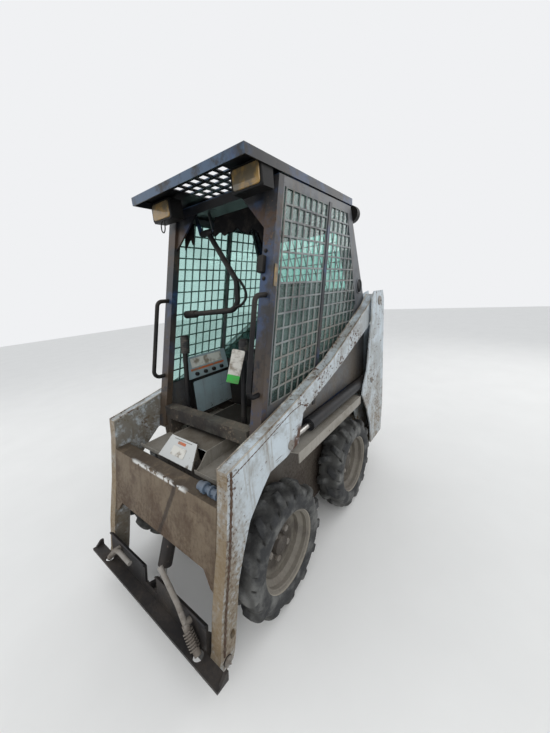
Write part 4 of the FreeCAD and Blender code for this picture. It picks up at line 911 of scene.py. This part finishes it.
rusty_edge = painted_steel(
    "raw_rusty_edge", colour(78, 56, 40), colour(62, 50, 40), mud_height=0.9, mud=0.5, chips=0.9,
    drips=0.3, gloss=0.7,
)
chipped_edge = painted_steel(
    "chipped_white_edge", colour(176, 172, 162), colour(96, 84, 68), mud_height=0.9, chips=1.0,
    drips=0.6, gloss=0.6, second=colour(104, 92, 76),
)
arm_inner_y = 0.362
arm_outer_y = 0.412
arm_top_edge = ((-0.770, 1.286), (-0.677, 1.222), (-0.135, 0.989), (0.201, 0.897), (0.444, 0.840),
                (0.620, 0.803))
leg_front_edge = ((0.620, 0.803), (0.632, 0.713), (0.672, 0.507), (0.724, 0.301), (0.754, 0.146))
knee_plate_edge = ((0.600, 0.780), (0.444, 0.814), (0.245, 0.863), (0.165, 0.869), (0.124, 0.846))
for side_name, side in both_sides:
    built(f"arm_edge_beads_{side_name}", [
        bead([(x, side * y, z + 0.0005) for x, z in arm_top_edge], 0.0036, lambda t: 0.0007 * np.sin(t * 2.2))
        for y in (arm_inner_y + 0.002, arm_outer_y - 0.002)
    ], chipped_edge, "lift_arms", "smooth")
    built(f"leg_seam_{side_name}", [
        bead([(x - 0.017, side * (arm_outer_y - 0.0005), z) for x, z in leg_front_edge], 0.0052,
             lambda t: 0.0016 * np.sin(t * 0.9) * np.sin(t * 0.23)),
        bead([(x, side * (arm_outer_y - 0.0008), z) for x, z in knee_plate_edge], 0.0022,
             lambda t: 0.0006 * np.sin(t * 1.3)),
    ], rusty_edge, "lift_arms", "smooth")


# Step plate's labels
# The plate over the pedals' linkage carries a blank label and an orange bar on its sloping front.
label_white = mottled("blank_label", colour(204, 202, 194), colour(132, 122, 108), 26.0, 6.0,
                      (0.44, 0.66), roughness=0.5)
label_orange = mottled("orange_label", colour(186, 92, 46), colour(128, 106, 86), 40.0, 6.0,
                       (0.44, 0.66), roughness=0.5)
step_low = np.array((0.560, 0.0, 0.672))
step_slope = np.array((0.492, 0.0, 0.748)) - step_low
step_up = step_slope / np.linalg.norm(step_slope)
step_out = np.cross(y_axis, step_up)
for name, share, width, height, finish in (
    ("step_label", 0.42, 0.092, 0.040, label_white),
    ("step_label_bar", 0.78, 0.052, 0.012, label_orange),
):
    spot = placed(step_low + step_slope * share + step_out * 0.0006)
    label = plate(width, height, 0.002, spot, y_axis, step_up, 0.0012, steps=3)
    built(name, [label], finish, "chassis")


# Hose coupling
# The auxiliary hose ends in a turned steel coupling on the cross member's shelf, with three collars.
coupler_steel = painted_steel(
    "blue_grey_coupling", colour(84, 98, 114), colour(70, 66, 62), mud_height=0.3, mud=0.2, chips=0.3,
    drips=0.1, dust=0.3, gloss=0.35,
)
dressed(coupler_steel, "hose_coupler")
collar_bore = 0.010
collar_edge = 0.0015
collars = []
for y, radius, width in ((0.262, 0.0215, 0.016), (0.300, 0.0195, 0.010), (0.332, 0.0205, 0.012)):
    profile = [(collar_bore, 0.0), (radius - collar_edge, 0.0), (radius, collar_edge),
               (radius, width - collar_edge), (radius - collar_edge, width), (collar_bore, width),
               (collar_bore, 0.0)]
    collars.append(turned_part(profile, 28, placed((0.609, y, 0.688))))
built("coupling_collars", collars, coupler_steel, "lift_arms")


# Door latch, marker strip and side holes
# The cab's door is off. Its latch box stays on the left post with its two screws, beside a strip of
# amber reflector, and each side sheet has a round hole with a rolled rim near its rear, filled by a
# black disc of painted shade.
def post_x(z):
    """The front face of the front posts at a height."""
    return 0.408 - post_lean * (z - 0.700)


post_up = np.array((-post_lean, 0.0, 1.0)) / math.hypot(post_lean, 1.0)
post_out = np.cross(y_axis, post_up)
marker = plate(0.018, 0.085, 0.004, placed((post_x(1.41) - 0.022, 0.3502, 1.41)), -post_out, post_up,
               0.003, 0.001, 3)
built("marker_strip", [marker], amber, "cab")
latch_z = 1.452
latch = [plate(0.030, 0.066, 0.005, placed((post_x(latch_z) + 0.0002, 0.302, latch_z)), y_axis, post_up,
               0.018, 0.003, 4)]
for z in (latch_z - 0.052, latch_z + 0.050):
    latch += hex_head(placed((post_x(z), 0.312, z)), post_out, 0.010, 0.006, 0.008)
built("latch_box", latch, plastic, "cab")

hole_radius = 0.040
hole_rim = [(hole_radius, 0.0), (hole_radius, 0.004), (0.043, 0.006), (0.047, 0.004), (0.048, 0.0),
            (hole_radius, 0.0)]
hole_shade_disc = [(0.0, 0.0012), (hole_radius, 0.0012), (hole_radius, 0.0), (0.0, 0.0)]
for side_name, side in both_sides:
    spot = placed((-0.668, side * 0.3502, 1.342))
    rim = turned_part(hole_rim, 40, spot, (0, side, 0))
    back = turned_part(hole_shade_disc, 40, spot, (0, side, 0))
    built(f"side_hole_ring_{side_name}", [rim], side_paint, "cab")
    # The black disc in each hole is painted shade.
    built(f"side_hole_{side_name}", [back], plastic, "cab", "smooth")


# Torn headliner
# A black foam sheet is glued inside the cab's top and hangs torn round the doorway, with a gap
# where the raised seat bar passes.
# The same black foam finish also fills the rear door's and the cover's slots as painted shade.
foam_and_shade = mottled("torn_black_foam_and_slot_shade", colour(13, 13, 14), colour(36, 33, 30), 18.0, 6.0, (0.45, 0.7),
               roughness=0.95, specular_ior_level=0.1)
foam_and_shade.relief(foam_and_shade.noise(160.0, 5.0), 0.003)
liner_rows = 14
liner_top = 1.704
liner_edge = ((-0.29, 1.585), (-0.24, 1.630), (-0.20, 1.600), (-0.05, 1.612), (0.04, 1.628), (0.12, 1.612),
              (0.20, 1.600), (0.25, 1.560), (0.29, 1.520))
liner_pieces = (
    # name, from and to across the cab, columns
    ("torn_headliner_right", -0.290, -0.215, 24),
    ("torn_headliner", -0.055, 0.290, 90),
)
for name, start, end, columns in liner_pieces:
    across = np.linspace(start, end, columns)
    torn = 0.010 * np.sin(across * 53.0) + 0.005 * np.sin(across * 131.0)
    hang = liner_top - np.interp(across, *np.transpose(liner_edge)) + torn
    share = np.linspace(0, 1, liner_rows)[:, None]
    z = liner_top - share * hang
    x = post_x(z) - 0.052 - 0.010 * np.sin(across * 17.0) * share
    liner = mesh_of(name, spots(x, across, z).reshape(-1, 3), grid_faces(liner_rows, columns))
    liner.modifiers.new("foam_and_shade", "SOLIDIFY").thickness = 0.004
    fitted(liner, foam_and_shade, "cab")
    width = end - start
    width * float(hang.mean())


# Seat
# Two foam cushions under black vinyl, on a steel box. They are puffed up by a cloth simulation of
# their covers, then drawn in along the sewn channels.
vinyl = Finish("cracked_black_vinyl", coat_weight=0.1)
vinyl_grain = vinyl.noise(420.0, 2.0)
vinyl_dust = vinyl.ease(vinyl.noise(11.0, 6.0), 0.46, 0.72) * (0.35 + vinyl.facing("Z") * 0.5)
vinyl.set(base_color=vinyl.mix(colour(34, 34, 36), colour(108, 100, 90), vinyl_dust),
          roughness=0.45 + vinyl_dust * 0.4 + vinyl_grain * 0.1)
vinyl.relief(vinyl_grain, 0.0006)
cushion_inset = 0.009
cushion_rise = 0.014
seam_depth = 0.007
seam_half_width = 0.006
seam_offset = 0.095


def settled_mesh(made):
    """Makes what the modifiers show the object's own mesh, and drops the modifiers."""
    graph = bpy.context.evaluated_depsgraph_get()
    baked = bpy.data.meshes.new_from_object(made.evaluated_get(graph))
    made.modifiers.clear()
    made.data = baked


def cushion_ring(rear, front, height):
    """The four corners of a level section through a cushion."""
    return [(rear, -seat_half, height), (front, -seat_half, height), (front, seat_half, height),
            (rear, seat_half, height)]


def cushion_start(name, low_ring, high_ring):
    """A closed box of voxels between a lower and an upper four-cornered ring."""
    faces = [(0, 3, 2, 1), (4, 5, 6, 7), (0, 1, 5, 4), (1, 2, 6, 5), (2, 3, 7, 6), (3, 0, 4, 7)]
    made = mesh_of(name, np.array(low_ring + high_ring), faces)
    rounded = made.modifiers.new("rounded", "BEVEL")
    rounded.width = 0.022
    rounded.segments = 4
    voxels = made.modifiers.new("voxels", "REMESH")
    voxels.mode = "VOXEL"
    voxels.voxel_size = 0.008
    settled_mesh(made)
    return made


def coordinates(made):
    """A mesh's points as one array."""
    flat = np.empty(len(made.data.vertices) * 3, dtype=np.float64)
    made.data.vertices.foreach_get("co", flat)
    return flat.reshape(-1, 3)


def puffed(made):
    """Blows the cover up with pressure for twenty steps, and keeps each point within the rise."""
    before = coordinates(made)
    cover = made.modifiers.new("cover", "CLOTH")
    cover.settings.use_pressure = True
    cover.settings.uniform_pressure_force = 4.0
    cover.settings.effector_weights.gravity = 0.0
    cover.settings.quality = 4
    for step in range(1, 21):
        bpy.context.scene.frame_set(step)
    settled_mesh(made)
    bpy.context.scene.frame_set(1)
    move = coordinates(made) - before
    length = np.linalg.norm(move, axis=1, keepdims=True)
    return before + move * np.minimum(1.0, cushion_rise / np.maximum(length, 1e-9))


def seam_dip(across, run, rows):
    """How far the cover is drawn in at the channels: a narrow bell round each of their lines."""
    dip = bell(np.abs(across), seam_offset, seam_half_width)
    for row in rows:
        dip = np.maximum(dip, bell(run, row, seam_half_width) * (np.abs(across) < seam_offset))
    return dip * seam_depth


cad_low, cad_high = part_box("seat_cushions")
seat_half = cad_high.y - cushion_inset
seat_front = cad_high.x - cushion_inset
seat_rear = cad_high.x - 0.400 + cushion_inset
seat_low = cad_low.z + 0.002
seat_high = cad_low.z + 0.0897 - cushion_inset
bottom = cushion_start("seat_bottom_cushion", cushion_ring(seat_rear, seat_front, seat_low),
                       cushion_ring(seat_rear, seat_front, seat_high))
shape = puffed(bottom)
top_share = eased(shape[:, 2], (seat_low + seat_high) / 2, seat_high - 0.006)
shape[:, 2] -= seam_dip(shape[:, 1], shape[:, 0] - seat_rear, (0.12, 0.24)) * top_share
shape[:, 2] = np.clip(shape[:, 2], seat_low, cad_low.z + 0.098)
bottom.data.vertices.foreach_set("co", shape.astype(np.float32).ravel())

back_foot_x = seat_front - 0.405 + cushion_inset
back_rear = back_foot_x + 0.002
back_front = back_foot_x + 0.064
back_low = cad_low.z + 0.104
back_high = cad_high.z - cushion_inset
back_lean = 0.0638
back = cushion_start("seat_back_cushion", cushion_ring(back_rear, back_front, back_low),
                     cushion_ring(back_rear - back_lean, back_front - back_lean, back_high))
shape = puffed(back)
front_line = back_front - back_lean * (shape[:, 2] - back_low) / (back_high - back_low)
front_share = eased(shape[:, 0], front_line - 0.030, front_line - 0.004)
shape[:, 0] -= seam_dip(shape[:, 1], shape[:, 2] - back_low, (0.12, 0.25)) * front_share
shape[:, 0] = np.maximum(shape[:, 0], front_line - 0.062)
back.data.vertices.foreach_set("co", shape.astype(np.float32).ravel())

for cushion in (bottom, back):
    cushion.data.materials.clear()
    smooth = cushion.modifiers.new("smooth", "SUBSURF")
    smooth.levels = 1
    smooth.render_levels = 1
    settled_mesh(cushion)
    cushion.data.shade_smooth()
    fitted(cushion, vinyl, "cab")
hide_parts("seat_cushions")


# Panels beside the driver
# The right console carries a pale blue instrument panel with a blank plate, an orange stripe and
# round switches, and a sheet lines each console's inner side. A blank tag hangs by the left lever.
panel_paint = painted_steel(
    "pale_blue_panel", colour(142, 160, 166), colour(110, 106, 98), mud_height=0.9, mud=0.35, chips=0.3,
    drips=0.4, dust=0.5, gloss=0.5, bare=colour(70, 70, 68),
)
console_inner_y = 0.236
panel_lean = 0.17
panel_right = (-1, 0, 0)
panel_up = np.array((0, -panel_lean, 1)) / math.hypot(panel_lean, 1)
panel_out = np.cross(panel_right, panel_up)
panel_middle = placed((0.110, -console_inner_y - 0.022, 0.975))
panel = plate(0.300, 0.120, 0.008, panel_middle, panel_right, panel_up, 0.010, 0.002)
built("instrument_panel", [panel], panel_paint, "cab")
panel_face = panel_middle + 0.0102 * panel_out
for name, rise, width, height, finish in (
    ("panel_plate", 0.024, 0.220, 0.050, label_white),
    ("panel_stripe", -0.014, 0.240, 0.012, label_orange),
):
    label = plate(width, height, 0.003, panel_face + rise * panel_up, panel_right, panel_up, 0.0010, steps=3)
    built(name, [label], finish, "cab")
knob = [(0.0, 0.016), (0.008, 0.016), (0.010, 0.014), (0.011, 0.0), (0.0, 0.0)]
knobs = [
    turned_part(knob, 20, panel_face + (ahead, 0, 0) - 0.040 * panel_up, panel_out)
    for ahead in (-0.09, -0.03, 0.03, 0.09)
]
built("panel_knobs", knobs, plastic, "cab")
console_sheets = [
    plate(0.470, 0.190, 0.010, placed((0.0, side * (console_inner_y - 0.0002), 0.806)), (-side, 0, 0),
          z_axis, 0.0025, 0.001)
    for side in (1, -1)
]
built("console_sheets", console_sheets, panel_paint, "cab")

tag_right = np.array((-0.62, 0.72, -0.296))
tag_up = np.array((0.0, 0.38, 0.925))
tag_middle = placed((0.338, 0.214, 1.066))
tag = plate(0.052, 0.150, 0.006, tag_middle, tag_right, tag_up, 0.0012, 0.0004)
built("blank_tag", [tag], label_white, "chassis")
green = mottled("green_tag_end", colour(58, 176, 74), colour(96, 132, 84), 30.0, edges=(0.45, 0.7),
                roughness=0.5)
tag_foot = tag_middle - 0.064 * tag_up + 0.0014 * np.cross(tag_right, tag_up)
tag_end = plate(0.052, 0.040, 0.004, tag_foot, tag_right, tag_up, 0.0010)
built("tag_end", [tag_end], green, "chassis")


# Lever rubbers, lamp wire, bent rod and spring
# Each steering lever has a ribbed rubber boot and a moulded grip. A loop of wire hangs below the
# right lamp, a rod is bent out beside the seat bar, and a coil spring sits on the left wedge lever.
grip_rubber = mottled("black_grip_rubber", colour(26, 26, 27), colour(82, 76, 68), 24.0, 5.0,
                      (0.45, 0.75), roughness=0.7)
grip_rubber.relief(grip_rubber.noise(200.0), 0.0006)
boot_bore = 0.012
boot_foot = 0.001
boot_height = 0.060
boot_ribs = 5
share = np.linspace(0, 1, 60)
boot_radius = 0.0315 - 0.0135 * share + 0.0022 * np.sin(share * 2 * math.pi * boot_ribs)
boot = [(boot_bore, boot_foot), *zip(boot_radius, boot_foot + share * boot_height),
        (boot_bore, boot_foot + boot_height), (boot_bore, boot_foot)]
grip_ribs = 9
share = np.linspace(0, 1, 48)
grip_radius = 0.0208 + 0.0016 * np.sin(share * math.pi) + 0.0007 * np.sin(share * 2 * math.pi * grip_ribs)
grip_radius *= np.sqrt(1 - np.clip((share - 0.88) / 0.13, 0, 1) ** 2)
grip_height = 0.0915
grip = [(0.0, 0.001), *zip(grip_radius, share * grip_height), (0.0, grip_height + 0.001)]
for side_name, side in both_sides:
    built(f"lever_rubbers_{side_name}", [
        turned_part(boot, 28, placed((0.308, side * 0.200, 0.668)), z_axis),
        turned_part(grip, 24, placed((0.276, side * 0.205, 1.075)), (-0.010, 0.0, 0.090)),
    ], grip_rubber, "chassis", "smooth")


def smooth_path(points, count):
    """A curve through a few points: Catmull-Rom cubics, evenly sampled."""
    p = np.asarray(points, dtype=float)
    p = np.concatenate([[2 * p[0] - p[1]], p, [2 * p[-1] - p[-2]]])
    t = np.linspace(0, len(p) - 3 - 1e-9, count)
    i = t.astype(int)
    f = (t - i)[:, None]
    a, b, c, d = p[i], p[i + 1], p[i + 2], p[i + 3]
    return 0.5 * (
        2 * b + (c - a) * f + (2 * a - 5 * b + 4 * c - d) * f ** 2 + (3 * b - a - 3 * c + d) * f ** 3
    )


wire = smooth_path([(0.236, -0.268, 1.716), (0.240, -0.285, 1.702), (0.243, -0.286, 1.672),
                    (0.243, -0.272, 1.659), (0.242, -0.259, 1.674), (0.236, -0.262, 1.713)], 50)
wire_loop = built("lamp_wire_loop", [tube_part(placed(wire), 0.0028, 8, up=(1, 0, 0.1))], plastic, "cab",
                  "smooth")

bent_rod = smooth_path([(0.150, 0.100, 1.412), (0.160, 0.122, 1.400), (0.158, 0.140, 1.368),
                        (0.156, 0.142, 1.335), (0.170, 0.128, 1.305), (0.185, 0.100, 1.292)], 40)
built("bar_loop", [tube_part(placed(bent_rod), 0.006, 10, up=(1, 0, 0.1))], plastic, "seat_bar",
      "smooth")

spring_turns = 7
spring_radius = 0.0175
spring_start = np.array((0.779, 0.268, 0.230))
spring_slope = np.array((0.789, 0.337, 0.157)) - spring_start
spring_run = spring_slope / np.linalg.norm(spring_slope)
spring_side = np.cross(spring_run, (1.0, 0.0, 0.0))
spring_side /= np.linalg.norm(spring_side)
share = np.linspace(0, 1, spring_turns * 16)[:, None]
turn = share * 2 * math.pi * spring_turns
spring = (spring_start + (0.18 + 0.62 * share) * spring_slope
          + spring_radius * (np.cos(turn) * spring_side + np.sin(turn) * np.cross(spring_run, spring_side)))
built("wedge_spring", [tube_part(placed(spring), 0.0026, 6, up=(0.9, 0.1, 0.2))], lever_steel,
      "quick_attach", "smooth")


# Arm pins
# Hardened pins join the arms, the cylinders and the machine. Each has a turned head with a grease
# nipple in its middle.
pin_table = (
    # body, along, up, outer face, head radius
    ("chassis", -0.830, 1.240, 0.4322, 0.030),
    ("chassis", -0.700, 0.722, 0.4322, 0.020),
    ("lift_arms", 0.262, 0.722, 0.4120, 0.021),
    ("quick_attach", 0.728, 0.118, 0.4160, 0.017),
)
nipple = [(0.0, 0.016), (0.002, 0.016), (0.0035, 0.013), (0.003, 0.006), (0.0, 0.006)]
for number, (body, x, z, face_y, radius) in enumerate(pin_table):
    head = [(0.0, 0.007), (0.004, 0.007), (radius - 0.003, 0.006), (radius, 0.003), (radius, -0.001),
            (0.0, -0.001)]
    parts = [
        turned_part(profile, sides, placed((x, side * face_y, z)), (0, side, 0))
        for side in (1, -1)
        for profile, sides in ((head, 32), (nipple, 10))
    ]
    built(f"pin_heads_{number}", parts, bare_steel, body)


# Rear door, cover and lamps at the back
# The rear door has pressed louvres and a pull handle, the cover slots for hot air, and each red lamp
# a moulded ring. Black plates of painted shade fill the slots behind the louvres and in the cover.
door_rear_x = placed((-0.967, 0.0, 0.0))[0]
louvre_half = 0.105
louvre_low_z = 0.640
louvre_pitch = 0.040
louvre_rows = 9
louvres, louvre_slot_shades = [], []
for z in louvre_low_z + louvre_pitch * np.arange(louvre_rows):
    for y in (-0.135, 0.135):
        ends = np.array([(door_rear_x - 0.0055, y + half, z + 0.001) for half in (-louvre_half, louvre_half)])
        louvres.append(beams(ends[:1], ends[1:], (-0.012, 0, -0.018), (0.0016, 0, -0.0011)))
        # A black plate behind each louvre is painted shade.
        louvre_slot_shades.append(
            plate(0.206, 0.016, 0.003, (door_rear_x, y, z - 0.001), (0, -1, 0), z_axis, 0.0008)
        )
built("door_louvres", louvres, white_paint, "rear_door")
built("louvre_slot_shades", louvre_slot_shades, foam_and_shade, "rear_door")
cover_low, cover_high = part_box("engine_cover")
cover_middle_x = (cover_low.x + cover_high.x) / 2
# Black plates on the cover stand in for its slots as painted shade.
cover_slot_shades = [
    plate(0.078, 0.022, 0.010, (cover_middle_x, y, cover_high.z - 0.0002), (1, 0, 0), y_axis, 0.0008)
    for y in np.linspace(-0.24, 0.24, 9)
]
built("cover_slot_shades", cover_slot_shades, foam_and_shade, "engine_cover")
handle = smooth_path([(door_rear_x + 0.002, -0.270, 0.52), (door_rear_x - 0.008, -0.270, 0.535),
                      (door_rear_x - 0.008, -0.270, 0.625), (door_rear_x + 0.002, -0.270, 0.64)], 40)
built("door_handle", [tube_part(handle, 0.0055, 12, up=y_axis)], bare_steel, "rear_door", "smooth")
lamp_low, lamp_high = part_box("tail_lamps")
lamp_ring = [(0.0365, 0.0), (0.0365, 0.026), (0.0395, 0.028), (0.0425, 0.024), (0.0435, 0.0), (0.0365, 0.0)]
lamp_rings = [
    turned_part(lamp_ring, 40, (lamp_high.x, side * 0.379, (lamp_low.z + lamp_high.z) / 2), (-1, 0, 0))
    for side in (1, -1)
]
built("tail_lamp_rings", lamp_rings, plastic, "chassis")


# Rear window guard and lamp
# Bars stand behind the rear window. The work lamp at the rear left is a round dish with a clear
# ribbed lens facing back.
bar_y = np.linspace(-0.22, 0.22, 9)
level_x = np.linspace(-0.713, -0.545, 7)
level_z = np.linspace(1.335, 1.660, 7)
built("rear_window_guard", [
    beams(spots(-0.713, bar_y, 1.318), spots(-0.545, bar_y, 1.672), (0.004, 0, 0), (0, 0.006, 0)),
    beams(spots(level_x, -0.245, level_z), spots(level_x, 0.245, level_z), (0.004, 0, 0), (0, 0, 0.006)),
], cab_paint, "cab", "flat")
clear_lens = mottled("dusty_clear_lens", colour(186, 188, 184), colour(120, 114, 104), 30.0,
                     haze=(0.2, 20.0, 0.3), coat_weight=0.4)
clear_lens.ribs(60.0, 0.0008)
dome = [(0.0, 0.0035), (0.020, 0.0032), (0.034, 0.0018), (0.040, 0.0), (0.0, 0.0)]
lens_place = (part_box("work_lamps")[0].x + 0.0005, 0.330, 1.742)
built("rear_lamp_lens", [turned_part(dome, 40, lens_place, (-1, 0, 0))], clear_lens, "cab")
